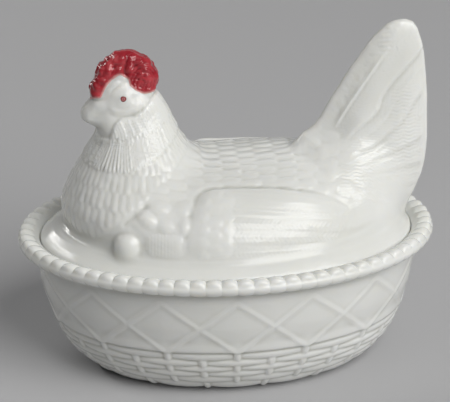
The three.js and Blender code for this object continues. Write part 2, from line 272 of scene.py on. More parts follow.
def tail_sdf(x, y, z):
    zc = np.clip(z, 80, 156.8)
    f, bk = tail_front(zc), tail_back(zc)
    s = np.clip((x - f) / np.maximum(bk - f, 1), 0, 1)
    half = tail_half(np.clip(z, 56, 156.9)) * (1 - 0.42 * s)
    d2 = polygon_sdf(x, z, tail_outline)
    # thin along its edges
    half = smin(half, 1.7 + 0.46 * np.maximum(-d2, 0), 2.0)
    r = np.clip(half * 0.6, 0.8, 1.7)
    qx, qy = d2 + r, y - half + r
    return np.minimum(np.maximum(qx, qy), 0) + np.hypot(np.maximum(qx, 0), np.maximum(qy, 0)) - r


def comb_sdf(x, y, z):
    d2 = polygon_sdf(x, z, comb_outline)
    half = comb_half(z)
    r = 3.0
    qx, qy = d2 + r, y - half + r
    return np.minimum(np.maximum(qx, qy), 0) + np.hypot(np.maximum(qx, 0), np.maximum(qy, 0)) - r


def beak_sdf(x, y, z):
    d2 = polygon_sdf(x, z, beak_outline)
    half = np.interp(x, [-64.5, -61, -57, -51, -44], [5.0, 6.7, 8.0, 9.3, 10.0]) - 0.18 * np.maximum(z - 118.0, 0)
    r = 3.6
    qx, qy = d2 + r, y - half + r
    return np.minimum(np.maximum(qx, qy), 0) + np.hypot(np.maximum(qx, 0), np.maximum(qy, 0)) - r


def hen_sdf(P):
    """Outside of the hen cover, with no hollow: millimetres, negative inside."""
    x, y, z = P[:, 0], np.abs(P[:, 1]), P[:, 2]
    d = body_sdf(x, y, z)
    m = x < 12
    d[m] = smin(d[m], neck_sdf(x[m], y[m], z[m]), 7.0)
    m = x > 18
    d[m] = smin(d[m], ellipsoid(x[m], y[m], z[m], (54.0, 0, 69.0), (27.0, 28.5, 30.0)), 8.0)
    m = x > 18
    d[m] = smin(d[m], tail_sdf(x[m], y[m], z[m]), 10.0)
    m = (x < -22) & (z > 98)
    if m.any():
        X, Y, Z, D = x[m], y[m], z[m], d[m]
        D = smin(D, beak_sdf(X, Y, Z), 3.2)
        D = smin(D, ellipsoid(X, Y, Z, (-54.6, 2.6, 124.2), (4.2, 4.6, 3.2)), 2.6)
        D = smin(D, ellipsoid(X, Y, Z, (-48.2, 4.6, 113.7), (8.2, 8.0, 7.6)), 4.5)
        D = smin(D, comb_sdf(X, Y, Z), 1.2)
        d[m] = D
    m = (x > -66) & (x < -34) & (z < 84)
    if m.any():
        d[m] = smin(d[m], ellipsoid(x[m], y[m], z[m], (-45.5, 39.7, 70.6), (6.7, 5.8, 6.2)),
                    1.0 + 0.8 * sstep(-46.0, -52.0, x[m]))
    m = z < 76
    if m.any():
        s = -plan_oval(x[m], y[m], LA, LB)
        d[m] = smin(d[m], polygon_sdf(s, z[m], flange_line), 4.5)
    return smax(d, SEAT_Z - z, 0.35)


def gradient(f, P, e=0.08):
    k = np.array([(1, -1, -1), (-1, -1, 1), (-1, 1, -1), (1, 1, 1)], float)
    g = sum(k[i] * f(P + k[i] * e)[:, None] for i in range(4))
    n = np.linalg.norm(g, axis=1, keepdims=True)
    return g / np.maximum(n, 1e-9), n[:, 0] / (4 * e)


def axis(*spans):
    out = [spans[0][0]]
    for a, b, step in spans:
        n = max(1, round((b - a) / step))
        out += list(a + (b - a) * (np.arange(n) + 1) / n)
    return np.array(out)


def surface(f, xs, ys, zs, block=8):
    """Quads of f = 0 on a grid mirrored in y: vertices, quads. ys runs from 0 outwards."""
    def pad(v):
        more = (-(len(v) - 1)) % block
        return np.concatenate([v, v[-1] + (v[-1] - v[-2]) * (np.arange(more) + 1)])
    xs, ys, zs = pad(xs), pad(ys), pad(zs)
    nx, ny, nz = len(xs), len(ys), len(zs)
    bi, bj, bk = [np.arange(0, n - 1, block) for n in (nx, ny, nz)]
    I, J, K = [a.ravel() for a in np.meshgrid(bi, bj, bk, indexing="ij")]
    cx, cy, cz = (xs[I] + xs[I + block]) / 2, (ys[J] + ys[J + block]) / 2, (zs[K] + zs[K + block]) / 2
    half = np.sqrt((xs[I + block] - xs[I]) ** 2 + (ys[J + block] - ys[J]) ** 2 + (zs[K + block] - zs[K]) ** 2) / 2
    v = f(np.stack([cx, cy, cz], 1))
    F = np.repeat(np.repeat(np.repeat(
        np.where(v < 0, -9.0, 9.0).reshape(len(bi), len(bj), len(bk)), block, 0), block, 1), block, 2)
    F = np.pad(F, ((0, 1), (0, 1), (0, 1)), mode="edge").astype(np.float32)
    keep = np.abs(v) < half * 1.35 + 0.8
    o = np.arange(block + 1)
    A, B, C = [a.ravel() for a in np.meshgrid(o, o, o, indexing="ij")]
    rows = np.nonzero(keep)[0]
    for part in np.array_split(rows, max(1, len(rows) // 600)):
        ii = (I[part][:, None] + A).ravel(); jj = (J[part][:, None] + B).ravel(); kk = (K[part][:, None] + C).ravel()
        F[ii, jj, kk] = f(np.stack([xs[ii], ys[jj], zs[kk]], 1))
    F = np.concatenate([F[:, :0:-1, :], F], 1)
    ys = np.concatenate([-ys[:0:-1], ys])
    S = F < 0
    n8 = sum(S[a:a + S.shape[0] - 1, b:b + S.shape[1] - 1, c:c + S.shape[2] - 1].astype(np.uint8)
             for a in (0, 1) for b in (0, 1) for c in (0, 1))
    i, j, k = np.nonzero((n8 > 0) & (n8 < 8))
    ids = np.full(n8.shape, -1, np.int32)
    ids[i, j, k] = np.arange(len(i))
    pos, cnt = np.zeros((len(i), 3)), np.zeros(len(i))
    grid = (xs, ys, zs)
    for ax in range(3):
        e = [0, 0, 0]; e[ax] = 1
        others = [q for q in range(3) if q != ax]
        for a in (0, 1):
            for b in (0, 1):
                o3 = [0, 0, 0]; o3[others[0]], o3[others[1]] = a, b
                p0 = (i + o3[0], j + o3[1], k + o3[2])
                p1 = (p0[0] + e[0], p0[1] + e[1], p0[2] + e[2])
                f0, f1 = F[p0], F[p1]
                m = (f0 < 0) != (f1 < 0)
                t = np.where(m, f0 / np.where(m, f0 - f1, 1), 0)
                for q in range(3):
                    g0, g1 = grid[q][p0[q]], grid[q][p1[q]]
                    pos[:, q] += np.where(m, g0 + t * (g1 - g0), 0)
                cnt += m
    pos /= cnt[:, None]
    quads = []
    for ax in range(3):
        b, c = [(1, 2), (2, 0), (0, 1)][ax]
        lo = [slice(None)] * 3; hi = [slice(None)] * 3
        lo[ax] = slice(0, -1); hi[ax] = slice(1, None)
        s0, s1 = S[tuple(lo)], S[tuple(hi)]
        p = np.array(np.nonzero(s0 != s1))
        ok = (p[b] > 0) & (p[c] > 0) & (p[b] < S.shape[b] - 1) & (p[c] < S.shape[c] - 1)
        p = p[:, ok]
        inside = s0[tuple(p)]
        corners = []
        for db, dc in ((-1, -1), (0, -1), (0, 0), (-1, 0)):
            q = p.copy(); q[b] += db; q[c] += dc
            corners.append(ids[tuple(q)])
        q = np.stack(corners, 1)
        quads.append(np.where(inside[:, None], q, q[:, ::-1]))
    quads = np.concatenate(quads)
    return pos, quads


def make_mesh(name, verts, faces, smooth=True):
    """A mesh object from points in millimetres and faces of one size each, or a list of such arrays."""
    faces = faces if isinstance(faces, list) else [faces]
    me = bpy.data.meshes.new(name)
    me.vertices.add(len(verts))
    me.vertices.foreach_set("co", (np.asarray(verts) * MM).astype(np.float32).ravel())
    loops = np.concatenate([f.ravel() for f in faces]).astype(np.int32)
    sizes = np.concatenate([np.full(len(f), f.shape[1]) for f in faces])
    me.loops.add(len(loops))
    me.loops.foreach_set("vertex_index", loops)
    me.polygons.add(len(sizes))
    me.polygons.foreach_set("loop_start", np.concatenate([[0], np.cumsum(sizes)[:-1]]).astype(np.int32))
    me.polygons.foreach_set("loop_total", sizes.astype(np.int32))
    me.update(calc_edges=True)
    me.validate(verbose=False)
    if smooth:
        me.polygons.foreach_set("use_smooth", np.ones(len(me.polygons), bool))
    ob = bpy.data.objects.new(name, me)
    bpy.context.scene.collection.objects.link(ob)
    return ob


# --------------------------------------------------------------- hen, feathers
def shingles(u, v, rise=0.6, crown=0.35, tip=0.3, soft=0.06, seed=0, wob=0.0, power=1.4, offset=0.5):
    """Overlapping feathers in brick rows. u runs across and v towards the tips, both in feathers."""
    k = np.floor(v)

    def one(row):
        uu = u - offset * (row % 2)
        j = np.floor(uu + 0.5)
        w = uu - j
        h = hash01(row, j, seed) - 0.5
        s = v - row
        edge = 1 - tip * (2 * w) ** 2 + wob * h
        height = rise * np.clip(s, 0, 1.2) ** power + crown * (1 - np.minimum((2 * w) ** 2, 1)) * (1 + 0.5 * h)
        return height, edge - s, w
    h0, e0, w0 = one(k)
    h1, e1, w1 = one(k + 1)
    t = sstep(-soft, soft, e0)
    # the row after comes out from under the tip
    h1 = h1 * np.clip((v - k) * 1.0 + 0.0, 0, 1)
    return t * h0 + (1 - t) * h1 * 0.6


def bump(qx, qy, cx, cy, rx, ry, turn=0.0, p=1.0):
    """A rounded lobe in the side view, from 1 at its middle to 0 at its rim."""
    c, s = math.cos(turn), math.sin(turn)
    X, Y = (qx - cx) * c + (qy - cy) * s, -(qx - cx) * s + (qy - cy) * c
    return np.clip(1 - (X / rx) ** 2 - (Y / ry) ** 2, 0, 1) ** p


def stroke(qx, qy, line, width, power=2.0, fade=0.15):
    d, t = near_line(qx, qy, catmull(line, 4, closed=False))
    ends = sstep(0, fade, t) * sstep(0, fade, 1 - t) if fade else 1.0
    return np.exp(-(d / width) ** power) * ends


collar = Table([(-80, 96.6), (-71, 97.8), (-58, 97.6), (-44, 98.7), (-36, 101.2), (-27, 105.6), (-18.7, 112), (-8, 121), (0, 126)])
face_line = [(60, 40), (165, 40), (156, 93), (147, 104), (142, 111), (134, 116.6), (122, 118.4), (116.2, 122.4), (113.2, 127.6), (111.6, 133),
             (110, 139), (101, 137.5), (96, 129), (88, 124), (70, 128)]
wing_line = catmull([
    (186, 245), (190, 232), (192.5, 219), (194.5, 206), (199, 196), (208, 190.5), (220, 188.8), (235, 188.6),
    (258, 188.3), (279, 188.8), (306, 192.2), (330, 196.5), (344, 202), (350.5, 211), (349, 222), (342, 235),
    (330, 245), (310, 252.5), (290, 256.5), (262, 259.5), (235, 261), (210, 261.5), (196, 260), (188, 254)], 4)


def wing_top(qx):
    return np.interp(qx, [186, 196, 208, 235, 279, 306, 334, 350], [215, 198, 190.5, 188.6, 188.8, 192.2, 197.5, 208])


def wing_low(qx):
    return np.interp(qx, [186, 196, 210, 235, 262, 290, 310, 330, 342, 350], [256, 260, 261.5, 261, 259.5, 256.5, 252.5, 245, 235, 222])


def wing_relief(qx, qy):
    """Height of the wing over the flank, in mm: (broad shape, fine lines, distance inside its outline in px)."""
    sd = -polygon_sdf(qx, qy, wing_line)
    # only the upper edge stands up; the others run out softly
    crisp = sstep(214, 202, qy) * sstep(197, 212, qx) * sstep(334, 288, qx)
    slab = crisp * 1.30 * sstep(-1.0, 2.8, sd) + (1 - crisp) * 0.62 * sstep(-8.0, 12.0, sd)
    slab = slab + 0.35 * sstep(2, 18, sd)
    # shoulder: one broad sheet that climbs to an upright edge, then steps down on the flight feathers
    xe = 233.4 - 0.02 * (qy - 200) - 1.3 * np.abs(np.cos(math.pi * (qy - 197) / 14.5))
    f = np.clip((qx - 200) / np.maximum(xe - 200, 1), 0, 1.2)
    sheet = 0.46 * f ** 1.6 * sstep(xe + 2.0, xe - 1.6, qx) * sstep(190, 202, qy) * sstep(262, 250, qy)
    cov = shingles((qy - 190) / 13.5, (qx - 196) / 13.0, rise=0.32, crown=0.34, tip=0.45, soft=0.12, seed=5, wob=0.2)
    sheet += cov * 0.75 * sstep(231, 222, qx) * sstep(195, 201, qx)
    # long flight feathers, each raised along its lower edge
    top, lo = wing_top(qx), wing_low(qx)
    b = [top - 1,
         np.maximum(203 + (qx - 235) * 0.055, top + 3),
         218.8 + (qx - 265) * 0.045,
         230.5 + (qx - 240) * 0.012,
         244.8 - (qx - 240) * 0.03,
         np.maximum(lo, 246) + 2]
    b = [np.minimum(v, lo + 0.5 * i) for i, v in enumerate(b)]
    h, fine = np.zeros_like(qx), np.zeros_like(qx)
    for i in range(5):
        w = np.maximum(b[i + 1] - b[i], 0.5)
        f = (qy - b[i]) / w
        inside = sstep(-0.02, 0.06, f) * sstep(1.0 + 1.2 / w, 1.0 - 1.2 / w, f)
        amount = [0.10, 0.30, 0.14, 0.16, 0.10][i]
        shape = amount * (0.15 + 0.85 * np.clip(f, 0, 1) ** [1.5, 1.5, 1.3, 1.4, 1.4][i])
        side = np.where(f < 0.5, -1.0, 1.0)
        barb = 0.5 + 0.5 * np.sin((qx + side * (qy - b[i] - w / 2) * -0.9) * 2 * math.pi / 4.4)
        strong = [0.3, 0.6, 1.0, 1.0, 0.7][i]
        h = np.maximum(h, inside * shape)
        fine = np.maximum(fine, inside * 0.24 * strong * barb * sstep(0.04, 0.2, f) * sstep(1.0, 0.85, f)
                          + inside * 0.14 * np.exp(-((f - 0.5) * w / 0.8) ** 2))
    out = sstep(230, 237, qx)
    inner = sstep(0.5, 5, sd)
    h = h * sstep(348, 322, qx)
    return slab + (h * out + sheet) * inner, fine * out * inner, sd


def tail_relief(qx, qy):
    """Feathers of the tail in the side view: they fan out from its foot. (broad shape, fine lines)"""
    ox, oy = 318.0, 178.0
    ang = np.degrees(np.arctan2(-(qy - oy), qx - ox))
    r = np.hypot(qx - ox, qy - oy)

    def edge(line):
        p = np.array(line, float)
        a = np.degrees(np.arctan2(-(p[:, 1] - oy), p[:, 0] - ox))
        q = np.hypot(p[:, 0] - ox, p[:, 1] - oy)
        o = np.argsort(q)
        return np.interp(r, q[o], a[o])
    edges = [
        edge([(322, 128), (336, 102), (360, 62), (380, 36), (392, 24)]),        # front rim
        edge([(334, 128), (352, 100), (370, 73), (388, 48), (399, 30)]),        # straight shaft
        edge([(349, 137), (362, 125), (371, 118), (378, 109), (381, 97), (391, 83), (400, 73), (415, 57), (424, 44)]),
        edge([(358, 152), (371, 148), (386, 134), (399, 124), (412, 104), (426, 84)]),
        edge([(362, 163), (380, 157), (396, 150), (414, 141), (428, 128)]),
        edge([(364, 173), (384, 170), (404, 166), (420, 162), (428, 158)]),
        edge([(362, 184), (384, 184), (404, 184), (418, 182)]),
        edge([(350, 198), (370, 200), (390, 203), (402, 204)]),
    ]
    h, fine = np.zeros_like(qx), np.zeros_like(qx)
    for i in range(7):
        span = np.maximum(edges[i] - edges[i + 1], 0.5)
        f = (edges[i] - ang) / span
        width = np.radians(span) * r  # px
        inside = sstep(-0.6, 0.6, f * width) * sstep(-0.6, 0.6, (1 - f) * width)
        amount = [0.45, 1.35, 0.98, 0.68, 0.54, 0.46, 0.40][i]
        shape = amount * (0.15 + 0.85 * np.clip(f, 0, 1) ** 1.7)
        side = np.where(f < 0.42, 1.0, -1.0)
        barb = 0.5 + 0.5 * np.sin((r + side * (f - 0.42) * width * 1.1) * 2 * math.pi / 3.9)
        h = np.maximum(h, inside * shape)
        fine = np.maximum(fine, inside * (0.17 * barb * [0.3, 0.6, 0.8, 1, 1, 1, 1][i]
                                          + 0.24 * np.exp(-((f - 0.42) * width / 1.2) ** 2) * (i > 1)))
    off, along = near_line(qx, qy, [(333, 129), (352, 100), (370, 73.5), (388, 48)])
    fine = fine + 0.78 * np.exp(-(off / 1.4) ** 2) * sstep(0, 0.12, along) * (1 - 0.75 * sstep(0.75, 1.0, along))
    # wavy barbs near the rear edge
    wave = 0.5 + 0.5 * np.sin((qy + 0.9 * np.sin(qx * 0.55) + 0.10 * (qx - 400)) * 2 * math.pi / 3.6)
    zone = sstep(386, 400, qx) * sstep(419, 411, qx) * sstep(78, 96, qy) * sstep(196, 176, qy)
    fine = fine * (1 - 0.7 * zone) + 0.32 * wave * zone
    # small dents along the front strip
    dents = noise(qx, qy, 0 * qx, 5.0, 1.7) + 0.7 * noise(qx, qy, 0 * qx, 2.6, 6.3)
    strip = sstep(edges[1] - 2, edges[1] + 2, ang) * sstep(128, 112, qy)
    fine = fine + 0.10 * dents * strip
    # crossed barbs near the tip
    near_tip = sstep(60, 46, qy) * sstep(376, 384, qx) * sstep(404, 396, qx)
    fine = fine + 0.22 * near_tip * (0.5 + 0.5 * np.sin((qx * 0.8 + np.abs(qx - 391) * 0.9 - qy * 0.9) * 2 * math.pi / 4.0))
    # the rear margin is plain
    plain = sstep(419.5, 422.5, qx - 0.10 * np.maximum(60 - qy, 0) + 0.25 * np.maximum(qy - 165, 0))
    foot = 0.30 + 0.70 * sstep(350, 376, qx + 0.35 * (165 - qy))
    return (h * (1 - 0.9 * plain) + 0.42 * plain) * foot, fine * (1 - plain)


bib_edge = catmull([(190, 140), (181, 156), (175, 166), (167, 178), (155, 188), (148, 197.5), (139, 205), (129, 213.5),
                    (119, 221), (109, 229), (99, 236), (88, 240), (70, 243)], 4, closed=False)
bib_x = Table([(p[1], p[0]) for p in bib_edge] + [(300, 10)])
# bumps over the shoulder: px centre, half sizes, turn, height in mm
shoulder_lobes = [
    (160, 207, 12, 7.5, 0.15, 1.1), (184, 209, 9.5, 8.5, 0.1, 0.9), (146.5, 219, 14, 8.5, 0.72, 1.7),
    (166, 227, 9.5, 8.5, 0.3, 1.1), (187, 227, 8.5, 11, 0.0, 1.2), (192, 206, 7.5, 7.5, 0.1, 0.8), (186, 247, 7.5, 8.5, 0.0, 0.8)]
rump_lobes = [
    (322, 154, 8, 8, 0.2, 0.9), (307, 172, 8, 6.5, 0.1, 0.8), (333, 172, 9, 8, 0, 0.9), (310, 184, 9, 5.5, 0.1, 0.8),
    (329, 188, 9, 6.5, 0.2, 0.9), (321, 134, 10, 6.5, -0.7, 0.3), (336, 146, 11, 8, -0.6, 0.35), (353, 158, 11, 8, -0.4, 0.4),
    (357, 173, 12, 8, 0.0, 0.6), (350, 189, 11, 8, 0.15, 0.9), (369, 184, 9, 7, 0.3, 0.6), (358, 228, 9, 8, 0.3, 1.0),
    (366, 198, 10, 7, 0.3, 0.7), (361, 212, 8, 8, 0.3, 0.7)]


def lobes(qx, qy, items, p=0.8):
    """The highest of some rounded bumps, and how near the middle of one each point is."""
    h, near = np.zeros_like(qx), np.zeros_like(qx)
    for cx, cy, rx, ry, turn, height in items:
        b = bump(qx, qy, cx, cy, rx, ry, turn, 1.0)
        h = np.maximum(h, height * b ** p)
        near = np.maximum(near, b)
    return h, near


def relief(P, N):
    """How far each point of the outer surface moves out along its normal, in mm: (broad shapes, fine lines)."""
    x, y, z = P[:, 0], P[:, 1], P[:, 2]
    ay = np.abs(y)
    qx, qy = side_view(x, y, z)
    D, F = np.zeros(len(P)), np.zeros(len(P))
    # where the neck's surface is, as an angle round it from the front
    f, bk, w = neck_front(z), neck_back(z), neck_half(z)
    cx, a = (f + bk) / 2, (bk - f) / 2
    psi = np.arctan2(ay / w, -(x - cx) / a)  # 0 at the breast, pi at the nape
    above = z - collar(x)
    face = -polygon_sdf(qx, qy, face_line)  # px, positive on the face
    hackle = sstep(-0.2, 0.4, above) * sstep(0.8, -1.6, face) * (x < -3)
    wing_w = (x > -27) & (x < 68) & (z < 97) & (z > 66)
    wing, wfine, wsd = np.zeros(len(P)), np.zeros(len(P)), np.full(len(P), -50.0)
    wing[wing_w], wfine[wing_w], wsd[wing_w] = wing_relief(qx[wing_w], qy[wing_w])
    off_wing = sstep(1.5, -1.5, wsd)

    # ---- breast: small rounded feathers round the neck's axis
    bx = bib_x(np.clip(qy, 140, 299))
    in_bib = sstep(1.8, -1.8, qx - bx) * (above < 1.5) * (x < -5) * sstep(69.4, 73.0, z)
    m = in_bib > 0
    t = shingles(psi[m] / math.pi * 27.0 + 0.5, (96.5 - z[m]) / 6.7 + 0.2, rise=0.50, crown=0.62, tip=0.5, soft=0.18,
                 seed=3, wob=0.42, power=1.3)
    D[m] += in_bib[m] * (0.58 * t + 0.1 + 0.22 * noise(x[m], ay[m], z[m], 3.4, 8.3))

    # ---- back and flank: rows of feathers that point to the tail
    u2 = np.minimum(((x + 3.5) / 73.5) ** 2, 0.98)
    hh = 31.0 * (1 + 0.75 * u2)
    phi = np.arctan2(ay / 52.5, np.maximum(z - 66, 0) / hh)
    arc = phi * 44.0
    in_back = (1 - in_bib) * (above < 1.5) * sstep(312, 296, qx) * off_wing * (x > -52) * (x < 52) * sstep(76, 84, z) * sstep(206, 196, qy)
    m = in_back > 0
    calm = 0.20 + 0.80 * np.maximum(sstep(182, 204, qx[m]), np.maximum(sstep(150, 138, qy[m]) * 0.6, sstep(164, 178, qy[m]) * 0.45))
    t = shingles(arc[m] / 5.7 + 0.5 + 0.12 * noise(x[m], ay[m], z[m], 9.0, 4.4), (x[m] + 60) / 8.2, rise=0.38, crown=0.46, tip=0.45,
                 soft=0.18, seed=9, wob=0.28, power=1.3)
    D[m] += in_back[m] * t * calm

    # ---- bumps between breast and wing, over the shoulder
    m = (x > -56) & (x < -3) & (z > 68) & (z < 98) & (qx > 120) & (qx < 202) & (qy > 188) & (qy < 264)
    X, Y = qx[m], qy[m]
    h, near = lobes(X, Y, shoulder_lobes, 1.1)
    # a longer block under them with upright lines
    bx_, by_ = np.abs((X - 166) / 21), np.abs((Y - 0.06 * (X - 166) - 246.5) / 12)
    block = np.clip(1 - bx_ ** 3 - by_ ** 3, 0, 1) ** 0.8
    h = np.maximum(0.62 * h, 0.58 * block)
    k = (1 - in_bib[m]) * off_wing[m]
    D[m] = D[m] * (1 - k * sstep(0, 0.25, np.maximum(near, block))) + k * h
    F[m] += k * 0.16 * (0.5 + 0.5 * np.sin(X * 2 * math.pi / 3.3)) * (block > 0.2) * sstep(182, 160, X)
    # the fold beside the breast
    g = stroke(X, Y, [(150, 203), (141, 211), (131, 219), (121, 228)], 2.6) * 0.7
    g = g + stroke(X, Y, [(128, 224), (140, 236), (146, 242)], 3.0) * 0.3
    D[m] -= g * off_wing[m]

    # ---- rump and tail coverts
    m = (qx > 292) & (x > 22) & (z > 68)
    X, Y = qx[m], qy[m]
    t = shingles((Y - 0.10 * (X - 300)) / 13.5 + 0.1, (X - 296 + 0.10 * Y) / 19.0, rise=0.5, crown=0.5, tip=0.45,
                 soft=0.12, seed=21, wob=0.12, power=1.4)
    fan = sstep(374, 350, X + (Y < 165) * (165 - Y) * 0.75)
    h, near = lobes(X, Y, rump_lobes, 1.3)
    inner = sstep(298, 312, X) * fan * sstep(70, 73, z[m]) * off_wing[m]
    D[m] += inner * (t * 0.45 * (1 - near) + 0.62 * h) * sstep(0.4, 5.0, ay[m])
    tl, tf = tail_relief(X, Y)
    rim = sstep(0.55, 0.85, np.abs(N[m, 1])) * sstep(70, 74, z[m])  # none on the thin edges
    D[m] += (1 - fan) * tl * rim
    F[m] += (1 - fan) * tf * rim
    barb = 0.5 + 0.5 * np.sin((Y + 0.25 * X + 1.2 * np.sin(X * 0.5)) * 2 * math.pi / 3.6)
    F[m] += 0.16 * barb * sstep(334, 344, X) * sstep(382, 368, X) * sstep(158, 168, Y) * sstep(212, 200, Y) * off_wing[m]

    # ---- wing over the flank
    m = wsd > -5
    D[m] = np.maximum(D[m] * off_wing[m], 0) + wing[m]
    F[m] += wfine[m]
    # a deep crease over the wing's upper edge, a softer one in front of it
    m = (wsd > -8) & (wsd < 4)
    up_edge = sstep(212, 202, qy[m]) * sstep(336, 292, qx[m])
    front = sstep(212, 200, qx[m]) * (1 - up_edge)
    D[m] -= 0.7 * np.exp(-((wsd[m] + 1.4) / 2.0) ** 2) * up_edge
    D[m] -= 0.55 * np.exp(-((wsd[m] + 1.8) / 3.0) ** 2) * front * sstep(258, 246, qy[m])

    # ---- neck hackles: two tiers of narrow feathers that part below the wattle
    m = hackle > 0
    Z, A, zm = above[m], psi[m], z[m]
    drop = np.clip((116 - zm) / 20.0, 0, 1.6)
    sweep = 0.13 * sstep(1.25, 0.55, A) * np.sin(np.clip(A, 0, 1.2) * 2.6) - 0.14 * sstep(0.75, 1.5, A) * sstep(3.1, 1.8, A)
    B = A + sweep * drop

    def strands(n, lean):
        p = B / math.pi * n + lean
        c = 2 * (p % 1) - 1
        i = np.floor(p)
        return np.clip(1 - np.abs(c) ** 2.2, 0, 1), i, hash01(i, i + 3, int(n))
    s1, i1, r1 = strands(46, 0.0)
    s2, i2, r2 = strands(62, 0.3)
    tier = 111.0 + np.clip((x[m] + 44) * 0.35, 0, 6) + 3.4 * (r1 - 0.5) - 1.4 * s1
    upper = sstep(-0.5, 0.5, zm - tier)
    h_up = 0.46 * s1 * (0.6 + 0.8 * r1) + 0.26
    h_lo = 0.48 * s2 * (0.6 + 0.8 * r2) + 0.16 * sstep(14, 0, Z)
    H = upper * h_up + (1 - upper) * h_lo
    edge = Z - 1.7 * (1 - s2) - 1.5 * (r2 - 0.5) - 0.2
    tip = sstep(-0.9, 1.0, edge)
    nape = 1.12 - 0.47 * sstep(2.1, 2.9, A)
    D[m] = D[m] * (1 - hackle[m] * tip) + hackle[m] * 0.48 * tip
    F[m] = F[m] * (1 - hackle[m]) + hackle[m] * H * nape * tip

    # ---- face
    m = (face > -4) & (x < -25) & (z > 104)
    X, Y, K = qx[m], qy[m], np.clip((face[m] + 1) / 2.5, 0, 1)
    g = np.zeros(m.sum())
    g += 0.50 * stroke(X, Y, [(108.5, 107.5), (113, 110.3), (119.8, 111.5), (125.4, 111.6), (131, 109.6), (137.5, 105.7), (144, 100.5)], 1.8)
    g += 0.30 * stroke(X, Y, [(133, 111.5), (137, 109.4), (141.5, 106.8), (146.5, 103.5)], 1.2)
    g -= 0.22 * stroke(X, Y, [(107.5, 111), (112, 115.5), (119.8, 117.6), (129, 116.6), (138, 112.5)], 2.2)
    g += 0.55 * stroke(X, Y, [(107.6, 93.2), (110.5, 89.6), (114.2, 85.8), (119.8, 80.6)], 1.5)
    g -= 0.22 * stroke(X, Y, [(109.6, 95.5), (113, 91.0), (117, 87.0), (120.5, 84)], 1.1)
    g += 0.25 * stroke(X, Y, [(110.9, 96.5), (114, 92.8), (118, 89.4), (123, 87.2)], 1.2)
    g += 0.30 * bump(X, Y, 123.5, 99.2, 8, 6.5, 0, 1.0)
    g -= 0.35 * bump(X, Y, 135.5, 98.5, 6, 6, 0, 1.0)
    g += 0.25 * np.exp(-(np.hypot(X - 92.7, Y - 110.2) / 2.0) ** 2)
    g -= 0.30 * stroke(X, Y, [(82, 117.2), (88, 118.4), (94, 118.6), (99, 117.6)], 0.9)
    g -= 0.25 * stroke(X, Y, [(97, 127.0), (100, 131.0), (104, 134.0), (109, 135.0), (114, 133.0)], 1.7)
    D[m] += g * K

    # ---- comb: lumpy, with a deep fold between its two lobes
    m = (z > 122) & (x < -26)
    X, Y, Z = x[m], y[m], z[m]
    PX, PY = qx[m], qy[m]
    k = sstep(-0.5, 2.5, paint_side(PX, PY))
    g = 0.62 * noise(X, Y, Z, 4.2) + 0.45 * noise(X, Y, Z, 2.4, 5.1)
    g -= 1.3 * stroke(PX, PY, [(127.5, 52), (126.6, 60), (125.6, 68), (126.4, 80)], 2.3, 2.0, 0.16)
    g += 0.6 * bump(PX, PY, 142, 73, 17, 20, 0, 0.8) + 0.3 * bump(PX, PY, 110, 74, 13, 19, 0.6, 0.8)
    g -= 0.45 * stroke(PX, PY, [(98, 87), (101.5, 80), (104, 73), (108, 68)], 1.7, 2.0, 0.1)
    g -= 0.40 * stroke(PX, PY, [(106, 84), (109, 78), (114, 70), (115.5, 62)], 1.6, 2.0, 0.1)
    D[m] = D[m] * (1 - k) + k * g
    # curls of the rear lobe: arcs round its lower middle that fan out above
    rr = np.hypot(PX - 142, (PY - 84) * 0.82)
    turn = np.arctan2(PY - 84, PX - 142)
    swirl = 0.5 + 0.5 * np.cos((rr + 1.2 * np.sin(2 * turn + 0.6) + 0.8 * noise(X, Y, Z, 3.0, 2.8)) * 2 * math.pi / 3.7)
    notch = 0.70 + 0.30 * np.sin(turn * 11 + rr * 0.8)
    g2 = bump(PX, PY, 94.5, 92.5, 7.5, 7.0, 0, 0.8)
    D[m] += k * 0.85 * g2
    F[m] += k * 0.74 * swirl * notch * sstep(0, 0.35, bump(PX, PY, 141, 75, 17.5, 19.5))
    lumps = sstep(-0.25, 0.55, noise(X, Y, Z, 2.0, 7.7))
    F[m] += k * 0.55 * lumps * sstep(128, 122, PX)
    F[m] += k * 0.22 * noise(X, Y, Z, 1.3, 9.1)

    # ---- faint waves of the pressed glass
    D += 0.06 * noise(x, y, z, 9.0, 2.2) * sstep(69.6, 72.2, z)
    fall = sstep(SEAT_Z + 0.4, SEAT_Z + 2.5, z)
    return D * fall, F * fall


# the lower border of the red paint, in the side view
paint_line = catmull([(80, 101), (88, 99.6), (94, 98.8), (100, 98), (102.3, 95), (107, 85.5), (113, 79.2), (119, 75.2),
                      (124, 77.2), (128, 79.2), (129.5, 84.5), (132.5, 88), (137, 91), (143, 93.3), (151, 92.7), (158, 89.5),
                      (166, 86)], 5, closed=False)
paint_poly = np.concatenate([paint_line, [(175, 80), (175, 20), (70, 20), (70, 101)]])


def paint_side(qx, qy):
    """Distance over the border of the paint, in px: positive on the paint."""
    return -polygon_sdf(qx, qy, paint_poly)


def quad_smooth(values, quads, n, rounds, share=0.6):
    """Average point values with their neighbours along the quads' edges."""
    e = np.concatenate([quads[:, [0, 1]], quads[:, [1, 2]], quads[:, [2, 3]], quads[:, [3, 0]]])
    deg = np.bincount(e[:, 0], minlength=n) + np.bincount(e[:, 1], minlength=n)
    for _ in range(rounds):
        s = np.bincount(e[:, 0], values[e[:, 1]], n) + np.bincount(e[:, 1], values[e[:, 0]], n)
        values = (1 - share) * values + share * s / np.maximum(deg, 1)
    return values


